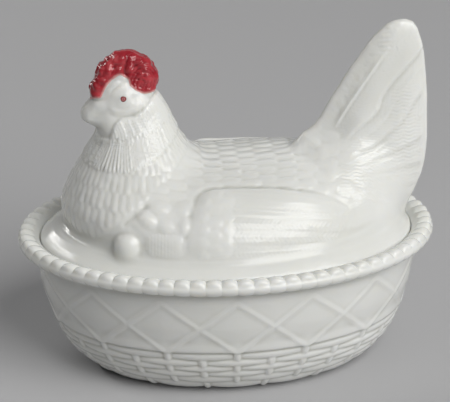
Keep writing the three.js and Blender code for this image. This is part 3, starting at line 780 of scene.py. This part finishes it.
def build_hen():
    xs = axis((-88.6, -72.0, 0.66), (-72.0, -20.0, 0.51), (-20.0, 95.4, 0.69))
    ys = axis((0.0, 26.0, 0.52), (26.0, 63.0, 0.68))
    zs = axis((56.9, 92.0, 0.66), (92.0, 148.5, 0.50), (148.5, 158.4, 0.62))
    P, Q = surface(hen_sdf, xs, ys, zs)
    for _ in range(2):
        n, g = gradient(hen_sdf, P)
        d = np.clip(hen_sdf(P) / np.maximum(g, 0.4), -0.5, 0.5)
        P = P - n * d[:, None]
    N, _ = gradient(hen_sdf, P)
    D, F = relief(P, N)
    D = quad_smooth(D, Q, len(P), 4)
    F = quad_smooth(F, Q, len(P), 1, 0.3)
    P = P + N * (D + F)[:, None]
    P[:, 2] = np.maximum(P[:, 2], SEAT_Z)
    return P, Q


def hollow():
    """The room inside the hen, as a closed solid that comes out below the flange."""
    rings = []
    n = 72
    t = np.arange(n) / n * 2 * math.pi
    c, s = np.cos(t), np.sin(t)
    # up through the body, then up the neck
    for z, cx, a, b in [
            (50.0, -4.5, 65.4, 46.2), (57.5, -4.5, 65.4, 46.2), (60.0, -4.2, 64.8, 45.9), (66.0, -3.2, 62.4, 45.2),
            (72.0, -3.0, 60.6, 43.6), (78.0, -4.0, 58.6, 39.8), (82.0, -6.4, 55.6, 35.6), (85.0, -10.0, 51.4, 31.6),
            (87.5, -15.0, 46.0, 27.6), (89.6, -21.4, 38.8, 24.0), (91.4, -28.2, 31.0, 21.4), (93.6, -34.0, 24.2, 19.4),
            (97.0, -37.8, 18.8, 17.0), (100.0, -39.0, 15.8, 14.6), (103.0, -39.6, 13.2, 12.0), (106.0, -40.0, 10.8, 9.4),
            (109.5, -40.4, 8.2, 6.4), (112.0, -40.5, 5.6, 4.2), (113.6, -40.5, 3.0, 2.4)]:
        rings.append(np.stack([cx + a * c, b * s, np.full(n, z)], 1))
    return loft_rings(rings)


def loft_rings(rings):
    n = len(rings[0])
    P = np.concatenate(rings + [rings[0].mean(0)[None], rings[-1].mean(0)[None] + [[0, 0, 0.5]]])
    i = np.arange(n); j = (i + 1) % n
    quads = np.concatenate([np.stack([r * n + i, r * n + j, (r + 1) * n + j, (r + 1) * n + i], 1)
                            for r in range(len(rings) - 1)])
    a = len(rings) * n
    top = (len(rings) - 1) * n
    tris = np.concatenate([np.stack([np.full(n, a), j, i], 1), np.stack([np.full(n, a + 1), top + i, top + j], 1)])
    return P, [quads, tris]


def apply_modifiers(ob):
    dg = bpy.context.evaluated_depsgraph_get()
    me = bpy.data.meshes.new_from_object(ob.evaluated_get(dg), depsgraph=dg)
    old = ob.data
    ob.modifiers.clear()
    ob.data = me
    bpy.data.meshes.remove(old)
    me.polygons.foreach_set("use_smooth", np.ones(len(me.polygons), bool))
    return ob


P, Q = build_hen()
hen = make_mesh("hen_cover_glass", P, Q)
print("hen quads", len(Q), "verts", len(P))
OUTER_P, OUTER_Q = P, Q


def decimate(ob, target):
    faces = sum(len(p.vertices) - 2 for p in ob.data.polygons)
    if faces <= target:
        return ob
    d = ob.modifiers.new("thin", "DECIMATE")
    d.ratio = target / faces
    return apply_modifiers(ob)


HEN_TRIANGLES = 290000
hen = decimate(hen, HEN_TRIANGLES)
hp, hf = hollow()
cutter = make_mesh("hollow_tool", hp, hf)
cut = hen.modifiers.new("hollow", "BOOLEAN")
cut.operation = "DIFFERENCE"
cut.solver = "MANIFOLD"
cut.object = cutter
hen = apply_modifiers(hen)
bpy.data.objects.remove(cutter)
print("hen faces after hollow", len(hen.data.polygons), len(hen.data.vertices))

# ------------------------------------------------------------------------ nest
A, B = 95.0, 70.3
BEADS = 74
PER = 10
COLS = BEADS * PER


def even_angles(a, b, shares):
    """Angles at given shares of an oval's length, from -90 degrees round."""
    t = np.linspace(0, 2 * math.pi, 7201)
    seg = np.hypot(a * np.sin((t[1:] + t[:-1]) / 2), b * np.cos((t[1:] + t[:-1]) / 2))
    cum = np.concatenate([[0], np.cumsum(seg)]); cum /= cum[-1]
    return np.interp(shares % 1.0, cum, t) + 2 * math.pi * np.floor(shares)


def crease_shape(u):
    """From 0 at the middle of a bead to 1 at the crease between two."""
    return (1 - np.sqrt(np.clip(1 - (0.94 * u) ** 2, 0, 1))) / (1 - math.sqrt(1 - 0.94 ** 2))


def build_nest():
    # shares of the rim's length: 0 at +X, where a bead is centred
    k = np.arange(COLS)
    bead_u = np.sin(math.pi / 2 * ((k % PER) - PER / 2) / (PER / 2))  # -1 at a crease, denser there
    share_bead = ((k // PER) + 0.5 * bead_u) / BEADS
    share_flat = (k - PER / 2) / COLS
    th_bead, th_flat = even_angles(A, B, share_bead), even_angles(A, B, share_flat)

    # wall, from the foot's edge to the underside of the beads
    wall_a = Table([(0, 37.9), (0.6, 36.6), (1.6, 33.6), (2.6, 31.0), (4.2, 28.6), (6, 26.4), (8, 24.3), (11, 21.6), (14, 19.6), (18, 17.4),
                    (23, 15.5), (27, 14.1), (32, 12.3), (38, 10.5), (44, 9.4), (50, 8.5), (54.6, 7.75), (57, 7.5)], 0.05)
    zz = np.linspace(0, 55.9, 2237)
    aa = wall_a(zz)
    arc = np.concatenate([[0], np.cumsum(np.hypot(np.diff(zz), np.diff(aa) * 0.88))])
    rows = []  # inset a, inset b, z, kind
    arc_25 = np.interp(25.4, zz, arc)
    n1, n2 = 60, 33
    marks = np.concatenate([np.linspace(0, arc_25, n1), np.linspace(arc_25, arc[-1], n2 + 1)[1:]])
    for s in marks:
        z = np.interp(s, arc, zz)
        a = float(wall_a(z))
        rows.append((a, a * 0.777 + 0.50 * sstep(50, 55.5, z), z, "wall"))
    R, RZ = 3.8, 59.8
    for f in np.radians([-116, -102, -88, -74, -60, -46, -33, -21, -11, -2, 6, 14, 23, 32, 42, 53, 64, 76, 88, 100]):
        a = R - R * math.cos(f)
        rows.append((a, a, RZ + R * math.sin(f), "roll"))
    rows += [(a, a, z, "in") for a, z in [(5.2, 63.30), (5.9, 63.02), (6.5, 62.70), (7.0, 62.30), (7.4, 61.88), (7.9, 61.45), (8.5, 61.0),
                                          (9.2, 60.55), (9.65, 60.15), (9.88, 59.5)]]
    P = []
    for a, b, z, kind in rows:
        w = sstep(52.0, 55.5, z) if kind != "in" else np.interp(z, [57.5, 62.0], [0.0, 1.0])
        th = th_flat * (1 - w) + th_bead * w
        c, s = np.cos(th), np.sin(th)
        p = np.stack([(A - a) * c, (B - b) * s, np.full(COLS, z)], 1)
        nrm = np.stack([c * (B - b), s * (A - a)], 1)
        nrm /= np.linalg.norm(nrm, axis=1, keepdims=True)
        share = share_flat * (1 - w) + share_bead * w
        if kind == "wall":
            # slope of the wall tilts the outward direction
            dz = 0.2
            sl = (wall_a(z + dz) - wall_a(z - dz)) / (2 * dz) * 0.88
            out = np.concatenate([nrm, np.full((COLS, 1), sl)], 1)
            out /= np.linalg.norm(out, axis=1, keepdims=True)
            h = wall_relief(share, z, p)
            p = p + out * h[:, None]
        elif kind == "roll":
            mid = np.stack([(A - R) * c, (B - R) * s, np.full(COLS, RZ)], 1)
            out = p - mid
            out /= np.linalg.norm(out, axis=1, keepdims=True)
            u = np.abs(2 * ((share * BEADS + 0.5) % 1.0) - 1)
            ang = math.degrees(math.atan2(z - RZ, R - a))
            # full pearls above the roll's waist, faint scallops below it
            wt = np.interp(ang, [-118, -95, -52, -14, 12, 28, 44, 58, 105], [0.0, 0.20, 0.38, 0.18, 0.12, 0.32, 0.84, 1.0, 1.0])
            p = p - out * (1.15 * wt * crease_shape(u))[:, None]
            p = p + out * (0.50 * (1 - u ** 2) ** 1.2 * math.exp(-((ang - 60) / 24.0) ** 2))[:, None]
            p = p - out * 0.40 * math.exp(-((ang - 24) / 13.0) ** 2)
        else:
            u = np.abs(2 * ((share * BEADS + 0.5) % 1.0) - 1)
            p[:, 2] -= 1.25 * crease_shape(u) * np.interp(a, [4.6, 6.2, 7.5], [1.0, 0.85, 0.0])
        P.append(p)
    nr = len(P)
    V = np.concatenate(P)
    i = np.arange(COLS); j = (i + 1) % COLS
    quads = np.concatenate([np.stack([r * COLS + i, r * COLS + j, (r + 1) * COLS + j, (r + 1) * COLS + i], 1)
                            for r in range(nr - 1)])
    # inside: fewer columns, joined by fans
    IC = COLS // 5
    ki = np.arange(IC)
    th_in = th_flat[ki * 5]
    inner = [(9.9, 9.9, 58.2), (9.95, 9.95, 57.7), (10.2, 10.2, 57.5), (11.8, 11.2, 57.5), (13.4, 11.9, 57.5), (14.1, 12.4, 57.3), (14.5, 12.7, 56.6),
             (14.9, 13.0, 53), (15.4, 13.4, 48), (16.0, 13.9, 42.5), (16.6, 14.4, 37), (17.8, 15.2, 31.5), (19.6, 16.5, 26), (21.6, 18.0, 21.5),
             (24.2, 19.8, 17.5), (27.4, 22.0, 13.4), (31.0, 24.6, 9.9), (35.2, 28.2, 7.6), (40.5, 32.4, 6.3), (47, 37.4, 5.8), (56, 44, 5.62),
             (68, 52, 5.6), (82, 61.5, 5.6)]
    ring0 = len(V)
    for a, b, z in inner:
        V = np.concatenate([V, np.stack([(A - a) * np.cos(th_in), (B - b) * np.sin(th_in), np.full(IC, z)], 1)])
    iq = np.arange(IC); jq = (iq + 1) % IC
    quads = np.concatenate([quads] + [np.stack([ring0 + r * IC + iq, ring0 + r * IC + jq, ring0 + (r + 1) * IC + jq, ring0 + (r + 1) * IC + iq], 1)
                                      for r in range(len(inner) - 1)])
    last = (nr - 1) * COLS
    tris = []
    for q in range(IC):
        q2 = (q + 1) % IC
        f = [last + (q * 5 + s) % COLS for s in range(6)]
        tris += [(f[0], f[1], ring0 + q), (f[1], f[2], ring0 + q), (f[2], ring0 + q2, ring0 + q), (f[2], f[3], ring0 + q2),
                 (f[3], f[4], ring0 + q2), (f[4], f[5], ring0 + q2)]
    # floor and foot close with a fan each; the foot is flat with a shallow dish inside it
    top_c = len(V); V = np.concatenate([V, [[0, 0, 5.6]]])
    lr = ring0 + (len(inner) - 1) * IC
    tris += [(lr + q, lr + (q + 1) % IC, top_c) for q in range(IC)]
    foot = [(41.5, 32.4, 0.0), (43.2, 33.8, 0.35), (46.0, 36.2, 0.9), (60.0, 47.0, 1.1), (78.0, 60.0, 1.15)]
    foot0 = len(V)
    for a, b, z in foot:
        V = np.concatenate([V, np.stack([(A - a) * np.cos(th_in), (B - b) * np.sin(th_in), np.full(IC, z)], 1)])
    for q in range(IC):
        q2 = (q + 1) % IC
        f = [(q * 5 + s) % COLS for s in range(6)]
        tris += [(f[1], f[0], foot0 + q), (f[2], f[1], foot0 + q), (f[2], foot0 + q, foot0 + q2), (f[3], f[2], foot0 + q2),
                 (f[4], f[3], foot0 + q2), (f[5], f[4], foot0 + q2)]
    quads = np.concatenate([quads] + [np.stack([foot0 + r * IC + jq, foot0 + r * IC + iq, foot0 + (r + 1) * IC + iq, foot0 + (r + 1) * IC + jq], 1)
                                      for r in range(len(foot) - 1)])
    bc = len(V); V = np.concatenate([V, [[0, 0, 1.15]]])
    lf = foot0 + (len(foot) - 1) * IC
    tris += [(lf + (q + 1) % IC, lf + q, bc) for q in range(IC)]
    return V, [quads, np.array(tris)]


WEAVE = [24.8, 20.7, 17.2, 14.1, 10.7, 6.6, 1.2]


def wall_relief(share, z, p):
    """Lattice ribs above, basket weave below, in mm out of the wall."""
    # shares count from +X; the lattice has a vertex at the front, a quarter before it
    s = (share + 0.25) * 14.0
    h = np.zeros(len(share))
    lo, hi = 24.6, 50.6
    if z > 20.0:
        t = np.clip((z - lo) / (hi - lo), -0.02, 1.02)
        d1 = np.abs((s + t + 0.5) % 1.0 - 0.5)
        d2 = np.abs((s - t + 0.5) % 1.0 - 0.5)
        mm = 21.6
        band = sstep(lo - 0.6, lo + 0.4, z) * sstep(hi + 0.7, hi - 0.2, z)
        r1, r2 = np.exp(-(d1 * mm / 1.0) ** 2), np.exp(-(d2 * mm / 1.0) ** 2)
        h = np.maximum(h, 0.50 * np.maximum(r1, r2) * band)
        # each panel swells a little
        h = h + 0.22 * np.minimum(d1, d2) * 2 * band
        # the wall thickens down to the weave's level
        h = h + 0.80 * sstep(31.5, 25.0, z)
        h = h + 0.25 * sstep(53.0, 55.5, z)
    if z < WEAVE[0] + 1.2:
        q = s * 2.0
        strip, stake = np.zeros(len(s)), np.zeros(len(s))
        for row in range(6):
            # stakes show where their number and the row's add up to an even number; a strip is tallest between them
            sway = 0.36 * np.cos(math.pi * (q + row))
            top, low = WEAVE[row] - sway * (0.4 if row == 0 else 1.0), WEAVE[row + 1] + sway
            v = (z - low) / (top - low)
            on = (v > -0.02) & (v < 1.02)
            e = (q + row) % 2.0  # 0 at a stake that shows
            near = np.minimum(e, 2.0 - e)
            env = np.clip(1 - ((near - 1.0) / 0.95) ** 2, 0, 1) ** 0.5
            prof = 1 - np.abs(2 * np.clip(v, 0, 1) - 1) ** 2.4
            strip = np.where(on, np.maximum(strip, 1.02 * env * (0.12 + 0.88 * prof)), strip)
            # a stake runs a little under the rows above and below
            w = (z - (WEAVE[row] + WEAVE[row + 1]) / 2) / ((WEAVE[row] - WEAVE[row + 1]) / 2 + 0.55)
            st = 1.12 * np.sqrt(np.clip(1 - (near / 0.115) ** 2, 0, 1)) * np.clip(1 - w ** 6, 0, 1) * (0.86 + 0.14 * (1 - w ** 2))
            stake = np.maximum(stake, st)
        weave = np.maximum(strip, stake) - 0.22
        edge = WEAVE[0] - 0.17 * np.cos(math.pi * q)
        m = sstep(edge + 0.45, edge - 0.15, z)
        h = h * (1 - m) + weave * m
        h = h - 0.26 * np.exp(-((z - edge) / 0.6) ** 2) * (stake < 0.2)
        h = h * sstep(0.4, 2.2, z)
    return h


nv, nf = build_nest()
nest = make_mesh("nest_glass", nv, nf)
print("nest triangles", 2 * len(nf[0]) + len(nf[1]))


# ------------------------------------------------------------------- materials
def crease_attribute(ob, name="crease", rounds=2):
    """How hollow or how proud each point lies beside its neighbours, from -1 to 1."""
    me = ob.data
    n = len(me.vertices)
    co = np.zeros(n * 3, np.float32); me.vertices.foreach_get("co", co); co = co.reshape(-1, 3).astype(float)
    nr = np.zeros(n * 3, np.float32); me.vertices.foreach_get("normal", nr); nr = nr.reshape(-1, 3).astype(float)
    e = np.zeros(len(me.edges) * 2, np.int32); me.edges.foreach_get("vertices", e); e = e.reshape(-1, 2)
    deg = np.bincount(e.ravel(), minlength=n).astype(float)[:, None]

    def mean(v):
        out = np.zeros_like(v)
        for q in range(v.shape[1]):
            out[:, q] = (np.bincount(e[:, 0], v[e[:, 1], q], n) + np.bincount(e[:, 1], v[e[:, 0], q], n))
        return out / np.maximum(deg, 1)
    smooth = co.copy()
    for _ in range(6):
        smooth = mean(smooth)
    h = ((co - smooth) * nr).sum(1)[:, None] * 1000 / 0.25
    for _ in range(rounds):
        h = 0.5 * h + 0.5 * mean(h)
    att = me.attributes.get(name) or me.attributes.new(name, "FLOAT", "POINT")
    att.data.foreach_set("value", np.clip(h[:, 0], -1, 1).astype(np.float32))


def glass_material(name, tint=(0.0, 0.0, 0.0)):
    mat = bpy.data.materials.new(name)
    mat.use_nodes = True
    nt = mat.node_tree
    N, L = nt.nodes, nt.links
    b = next(n for n in N if n.type == "BSDF_PRINCIPLED")
    b.inputs["IOR"].default_value = 1.5
    b.inputs["Specular IOR Level"].default_value = 0.38
    b.inputs["Subsurface Weight"].default_value = 0.75
    b.inputs["Subsurface Radius"].default_value = (1.0, 0.95, 0.85)
    b.inputs["Subsurface Scale"].default_value = 0.004
    tc = N.new("ShaderNodeTexCoord")
    big = N.new("ShaderNodeTexNoise"); big.inputs["Scale"].default_value = 24; big.inputs["Detail"].default_value = 3
    L.new(tc.outputs["Object"], big.inputs["Vector"])
    ramp = N.new("ShaderNodeValToRGB")
    ramp.color_ramp.elements[0].position = 0.30
    ramp.color_ramp.elements[0].color = (0.775 + tint[0], 0.780 + tint[1], 0.745 + tint[2], 1)
    ramp.color_ramp.elements[1].position = 0.72
    ramp.color_ramp.elements[1].color = (0.815 + tint[0], 0.820 + tint[1], 0.800 + tint[2], 1)
    L.new(big.outputs["Fac"], ramp.inputs["Fac"])
    # painted shade: where the crease attribute says a point lies hollow, the glass colour is mixed toward a warm grey,
    # darkening creases and recesses
    at = N.new("ShaderNodeAttribute"); at.attribute_name = "crease"
    low = N.new("ShaderNodeMapRange")
    low.inputs["From Min"].default_value = -0.9; low.inputs["From Max"].default_value = -0.05
    low.inputs["To Min"].default_value = 0.55; low.inputs["To Max"].default_value = 0.0
    L.new(at.outputs["Fac"], low.inputs["Value"])
    crease_shade = N.new("ShaderNodeMix"); crease_shade.data_type = "RGBA"
    crease_shade.inputs["B"].default_value = (0.52, 0.52, 0.46, 1)
    L.new(ramp.outputs["Color"], crease_shade.inputs["A"])
    L.new(low.outputs["Result"], crease_shade.inputs["Factor"])
    L.new(crease_shade.outputs["Result"], b.inputs["Base Color"])
    fine = N.new("ShaderNodeTexNoise"); fine.inputs["Scale"].default_value = 260; fine.inputs["Detail"].default_value = 4
    L.new(tc.outputs["Object"], fine.inputs["Vector"])
    rough = N.new("ShaderNodeMapRange")
    rough.inputs["From Min"].default_value = 0.3; rough.inputs["From Max"].default_value = 0.7
    rough.inputs["To Min"].default_value = 0.14; rough.inputs["To Max"].default_value = 0.24
    L.new(fine.outputs["Fac"], rough.inputs["Value"])
    L.new(rough.outputs["Result"], b.inputs["Roughness"])
    wave = N.new("ShaderNodeTexNoise"); wave.inputs["Scale"].default_value = 420; wave.inputs["Detail"].default_value = 2
    L.new(tc.outputs["Object"], wave.inputs["Vector"])
    bump_n = N.new("ShaderNodeBump"); bump_n.inputs["Strength"].default_value = 0.10; bump_n.inputs["Distance"].default_value = 0.0004
    L.new(wave.outputs["Fac"], bump_n.inputs["Height"])
    L.new(bump_n.outputs["Normal"], b.inputs["Normal"])
    return mat


white_hen = glass_material("milk_glass_hen")
# painted shade: the nest's copy of the milk glass is made a touch darker than the hen's
white_nest = glass_material("milk_glass_nest", (-0.004, -0.004, -0.004))
for ob, mat in ((hen, white_hen), (nest, white_nest)):
    # these crease values drive the painted shade in the glass's hollows
    crease_attribute(ob)
    ob.data.materials.clear()
    ob.data.materials.append(mat)

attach(hen, "cover"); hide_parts("hen_cover")
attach(nest, "nest"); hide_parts("nest_base")


# ------------------------------------------------------------------- red paint
def enamel_material():
    mat = bpy.data.materials.new("red_enamel_paint")
    mat.use_nodes = True
    N, L = mat.node_tree.nodes, mat.node_tree.links
    b = next(n for n in N if n.type == "BSDF_PRINCIPLED")
    b.inputs["IOR"].default_value = 1.5
    tc = N.new("ShaderNodeTexCoord")
    n1 = N.new("ShaderNodeTexNoise"); n1.inputs["Scale"].default_value = 190; n1.inputs["Detail"].default_value = 4
    L.new(tc.outputs["Object"], n1.inputs["Vector"])
    ramp = N.new("ShaderNodeValToRGB")
    ramp.color_ramp.elements[0].position = 0.34
    ramp.color_ramp.elements[0].color = (0.315, 0.020, 0.030, 1)
    ramp.color_ramp.elements[1].position = 0.66
    ramp.color_ramp.elements[1].color = (0.475, 0.048, 0.060, 1)
    L.new(n1.outputs["Fac"], ramp.inputs["Fac"])
    # painted shade: where the crease attribute says the comb's paint lies hollow, its red is mixed toward a deep red,
    # darkening its creases; on the eyes the same attribute is set outside the pale ring and marks their darker red
    # paint
    cr = N.new("ShaderNodeAttribute"); cr.attribute_name = "crease"
    low = N.new("ShaderNodeMapRange")
    low.inputs["From Min"].default_value = -0.9; low.inputs["From Max"].default_value = 0.0
    low.inputs["To Min"].default_value = 0.75; low.inputs["To Max"].default_value = 0.0
    L.new(cr.outputs["Fac"], low.inputs["Value"])
    dark = N.new("ShaderNodeMix"); dark.data_type = "RGBA"
    dark.inputs["B"].default_value = (0.130, 0.003, 0.008, 1)
    L.new(ramp.outputs["Color"], dark.inputs["A"]); L.new(low.outputs["Result"], dark.inputs["Factor"])
    ed = N.new("ShaderNodeAttribute"); ed.attribute_name = "thin"
    thin = N.new("ShaderNodeMix"); thin.data_type = "RGBA"
    thin.inputs["B"].default_value = (0.74, 0.40, 0.38, 1)
    L.new(dark.outputs["Result"], thin.inputs["A"]); L.new(ed.outputs["Fac"], thin.inputs["Factor"])
    L.new(thin.outputs["Result"], b.inputs["Base Color"])
    n2 = N.new("ShaderNodeTexNoise"); n2.inputs["Scale"].default_value = 600; n2.inputs["Detail"].default_value = 3
    L.new(tc.outputs["Object"], n2.inputs["Vector"])
    rough = N.new("ShaderNodeMapRange")
    rough.inputs["To Min"].default_value = 0.05; rough.inputs["To Max"].default_value = 0.18
    L.new(n2.outputs["Fac"], rough.inputs["Value"]); L.new(rough.outputs["Result"], b.inputs["Roughness"])
    bp = N.new("ShaderNodeBump"); bp.inputs["Strength"].default_value = 0.38; bp.inputs["Distance"].default_value = 0.0003
    L.new(n2.outputs["Fac"], bp.inputs["Height"]); L.new(bp.outputs["Normal"], b.inputs["Normal"])
    return mat


red = enamel_material()


def set_attribute(ob, name, values):
    att = ob.data.attributes.get(name) or ob.data.attributes.new(name, "FLOAT", "POINT")
    att.data.foreach_set("value", np.asarray(values, np.float32))


def point_normals(P, Q):
    d = np.cross(P[Q[:, 2]] - P[Q[:, 0]], P[Q[:, 3]] - P[Q[:, 1]])
    n = np.zeros_like(P)
    for c in range(4):
        for q in range(3):
            n[:, q] += np.bincount(Q[:, c], d[:, q], len(P))
    return n / np.maximum(np.linalg.norm(n, axis=1, keepdims=True), 1e-12)


def shell(name, P, N, Q, outer, inner):
    """A closed skin over some quads of a surface, from one offset to another."""
    used = np.unique(Q)
    ids = np.full(len(P), -1); ids[used] = np.arange(len(used))
    q = ids[Q]
    n = len(used)
    V = np.concatenate([P[used] + N[used] * outer[used, None], P[used] + N[used] * inner])
    e = np.concatenate([q[:, [0, 1]], q[:, [1, 2]], q[:, [2, 3]], q[:, [3, 0]]])
    key = {(int(a), int(b)) for a, b in e}
    rim = np.array([(a, b, b + n, a + n) for a, b in key if (b, a) not in key])
    rim = rim[:, ::-1]
    return make_mesh(name, V, [np.concatenate([q, q[:, ::-1] + n, rim])]), used, n


def build_comb_paint():
    P, Q = OUTER_P, OUTER_Q
    qx, qy = side_view(P[:, 0], P[:, 1], P[:, 2])
    m = np.full(len(P), -9.0)
    part = (P[:, 2] > 120) & (P[:, 0] < -24)
    m[part] = paint_side(qx[part], qy[part]) / 2.19
    wob = noise(P[:, 0], np.abs(P[:, 1]), P[:, 2], 1.7, 3.3)
    m = m + 0.16 * wob
    quads = Q[(m[Q] > -0.9).all(1)]
    N = point_normals(P, Q)
    outer = -0.22 + 0.38 * sstep(-0.55, 0.35, m) + 0.03 * wob
    ob, used, n = shell("comb_paint", P, N, quads, outer, -0.7)
    thin = sstep(1.15, 0.15, m[used]) * 0.9
    set_attribute(ob, "thin", np.concatenate([thin, thin]))
    d = ob.modifiers.new("thin", "DECIMATE")
    d.ratio = min(1.0, 26000 / (2 * len(ob.data.polygons)))
    apply_modifiers(ob)
    # these crease values darken the red in the comb's hollows as painted shade
    crease_attribute(ob, rounds=1)
    ob.data.materials.append(red)
    return ob


comb = build_comb_paint()
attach(comb, "cover"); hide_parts("comb_enamel")


def build_eyes():
    from mathutils import Vector
    from mathutils.bvhtree import BVHTree
    dg = bpy.context.evaluated_depsgraph_get()
    tree = BVHTree.FromObject(hen, dg)
    px, py = 123.4, 99.1
    ray = -BACK + VIEW_R * (px - VIEW_W / 2) / FOCAL - VIEW_U * (py - VIEW_H / 2) / FOCAL
    hit, n, _, _ = tree.ray_cast(Vector(EYE_AT * MM), Vector(ray / np.linalg.norm(ray)))
    hit, n = np.array(hit) / MM, np.array(n)
    t1 = np.cross([0, 0, 1.0], n); t1 /= np.linalg.norm(t1)
    t2 = np.cross(n, t1)
    radii = [0.12, 0.22, 0.30, 0.38, 0.46, 0.56, 0.66, 0.74, 0.82, 0.92, 1.04, 1.14, 1.24, 1.34]
    lift = [0.30, 0.27, 0.20, 0.13, 0.10, 0.10, 0.12, 0.16, 0.18, 0.18, 0.16, 0.11, 0.02, -0.25]
    ring = [0, 0, 0, 0.35, 0.8, 0.8, 0.55, 0.15, 0, 0, 0, 0, 0.15, 0.45]
    k = 40
    t = np.arange(k) / k * 2 * math.pi

    def on_glass(p):
        h, _, _, _ = tree.ray_cast(Vector((p + n * 3) * MM), Vector(-n))
        return np.array(h) / MM
    V, W = [on_glass(hit) + n * 0.32], [0.0]
    for r, o, w in zip(radii, lift, ring):
        for i, a in enumerate(t):
            rr = r * (1 + 0.05 * math.sin(3 * a + 0.7) * (r > 0.8))
            V.append(on_glass(hit + (t1 * math.cos(a) * 1.04 + t2 * math.sin(a) * 0.98) * rr) + n * o)
            W.append(w)
    base = len(V)
    for a in t:
        V.append(on_glass(hit + (t1 * math.cos(a) + t2 * math.sin(a)) * 1.38) - n * 0.55); W.append(0)
    V.append(on_glass(hit) - n * 0.6); W.append(0)
    quads, tris = [], []
    for i in range(k):
        j = (i + 1) % k
        tris.append((0, 1 + i, 1 + j))
        for r in range(len(radii) - 1):
            p = 1 + r * k
            quads.append((p + i, p + k + i, p + k + j, p + j))
        p = 1 + (len(radii) - 1) * k
        quads.append((p + i, base + i, base + j, p + j))
        tris.append((base + i, base + k, base + j))
    V, quads, tris = np.array(V), np.array(quads), np.array(tris)
    out = []
    for side, name in ((1, "eye_paint_right"), (-1, "eye_paint_left")):
        v = V * [1, side, 1]
        f = [quads, tris] if side == 1 else [quads[:, ::-1], tris[:, ::-1]]
        ob = make_mesh(name, v, f)
        set_attribute(ob, "thin", W)
        set_attribute(ob, "crease", -0.75 * (np.array(W) < 0.4))
        ob.data.materials.append(red)
        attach(ob, "cover")
        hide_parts("eye_enamel_right" if side == 1 else "eye_enamel_left")
        out.append(ob)
    return out


eyes = build_eyes()

# ------------------------------------------------------------ camera and stage
cam_data = bpy.data.cameras.new("camera")
cam = bpy.data.objects.new("camera", cam_data)
bpy.context.scene.collection.objects.link(cam)
cam_data.sensor_fit = "HORIZONTAL"
cam_data.sensor_width = 36.0
cam_data.lens = 36.0 * FOCAL / VIEW_W
cam_data.clip_start, cam_data.clip_end = 0.05, 20.0
from mathutils import Matrix
cam.matrix_world = Matrix([
    [VIEW_R[0], VIEW_U[0], BACK[0], EYE_AT[0] * MM],
    [VIEW_R[1], VIEW_U[1], BACK[1], EYE_AT[1] * MM],
    [VIEW_R[2], VIEW_U[2], BACK[2], EYE_AT[2] * MM],
    [0, 0, 0, 1]])
bpy.context.scene.camera = cam


def stage_floor():
    n = 24
    P = []
    for j in range(n + 1):
        t = j / n
        # flat, then a wide curve up behind
        for i in range(2):
            x = (-1 if i == 0 else 1) * 4000
            if t < 0.5:
                y, z = -3000 + t / 0.5 * 4200, 0.0
            else:
                a = (t - 0.5) / 0.5 * math.pi / 2
                y, z = 1200 + 1800 * math.sin(a), 1800 * (1 - math.cos(a))
            P.append((x, y, z))
    P = np.array(P)
    Q = np.array([(2 * j, 2 * j + 1, 2 * j + 3, 2 * j + 2) for j in range(n)])
    ob = make_mesh("floor", P, Q)
    mat = bpy.data.materials.new("floor_paper")
    mat.use_nodes = True
    b = next(n for n in mat.node_tree.nodes if n.type == "BSDF_PRINCIPLED")
    b.inputs["Base Color"].default_value = (0.50, 0.50, 0.51, 1)
    b.inputs["Roughness"].default_value = 0.75
    ob.data.materials.append(mat)


stage_floor()


def area(name, at, aim, size, power, colour=(1, 1, 1), along=None):
    """A flat light. along is the direction of its first side, where that matters."""
    from mathutils import Vector
    d = bpy.data.lights.new(name, "AREA")
    d.shape = "RECTANGLE"
    d.size, d.size_y = size
    d.energy = power
    d.color = colour
    ob = bpy.data.objects.new(name, d)
    bpy.context.scene.collection.objects.link(ob)
    back = (Vector(at) - Vector(aim)).normalized()
    side = Vector(along) if along is not None else Vector((0, 0, 1)).cross(back)
    side = (side - back * side.dot(back)).normalized()
    up = back.cross(side)
    ob.matrix_world = Matrix([[side[q], up[q], back[q], at[q]] for q in range(3)] + [[0, 0, 0, 1]])
    return ob


def around(az, el, dist, z=0.07):
    """A place seen from the dish: az 0 is the camera's side and 90 the tail's."""
    a, e = math.radians(az), math.radians(el)
    return (dist * math.sin(a) * math.cos(e), -dist * math.cos(a) * math.cos(e), z + dist * math.sin(e))


area("key", around(38, 38, 2.6), (0, 0, 0.07), (2.0, 2.0), 66.0, (1.0, 0.995, 0.98))
area("fill", around(-38, 56, 2.0), (0, 0, 0.07), (1.3, 1.3), 2.9, (1.0, 0.995, 0.98))
area("behind", around(180, 40, 2.2), (0, 0, 0.07), (2.8, 0.8), 7.0, (1.0, 1.0, 0.99))
_low, _high = around(-145, 12, 1.7), around(-106, 37, 1.7)
area("window", around(-127.5, 26.5, 1.7), (0, 0, 0.065), (1.25, 0.08), 5.0, (1.0, 0.99, 0.97),
     along=[_high[q] - _low[q] for q in range(3)])
world = bpy.data.worlds.new("studio")
bpy.context.scene.world = world
world.use_nodes = True
bg = next(n for n in world.node_tree.nodes if n.type == "BACKGROUND")
bg.inputs["Color"].default_value = (0.9, 0.93, 1.0, 1)
bg.inputs["Strength"].default_value = 0.03
bpy.context.scene.view_settings.view_transform = "Standard"
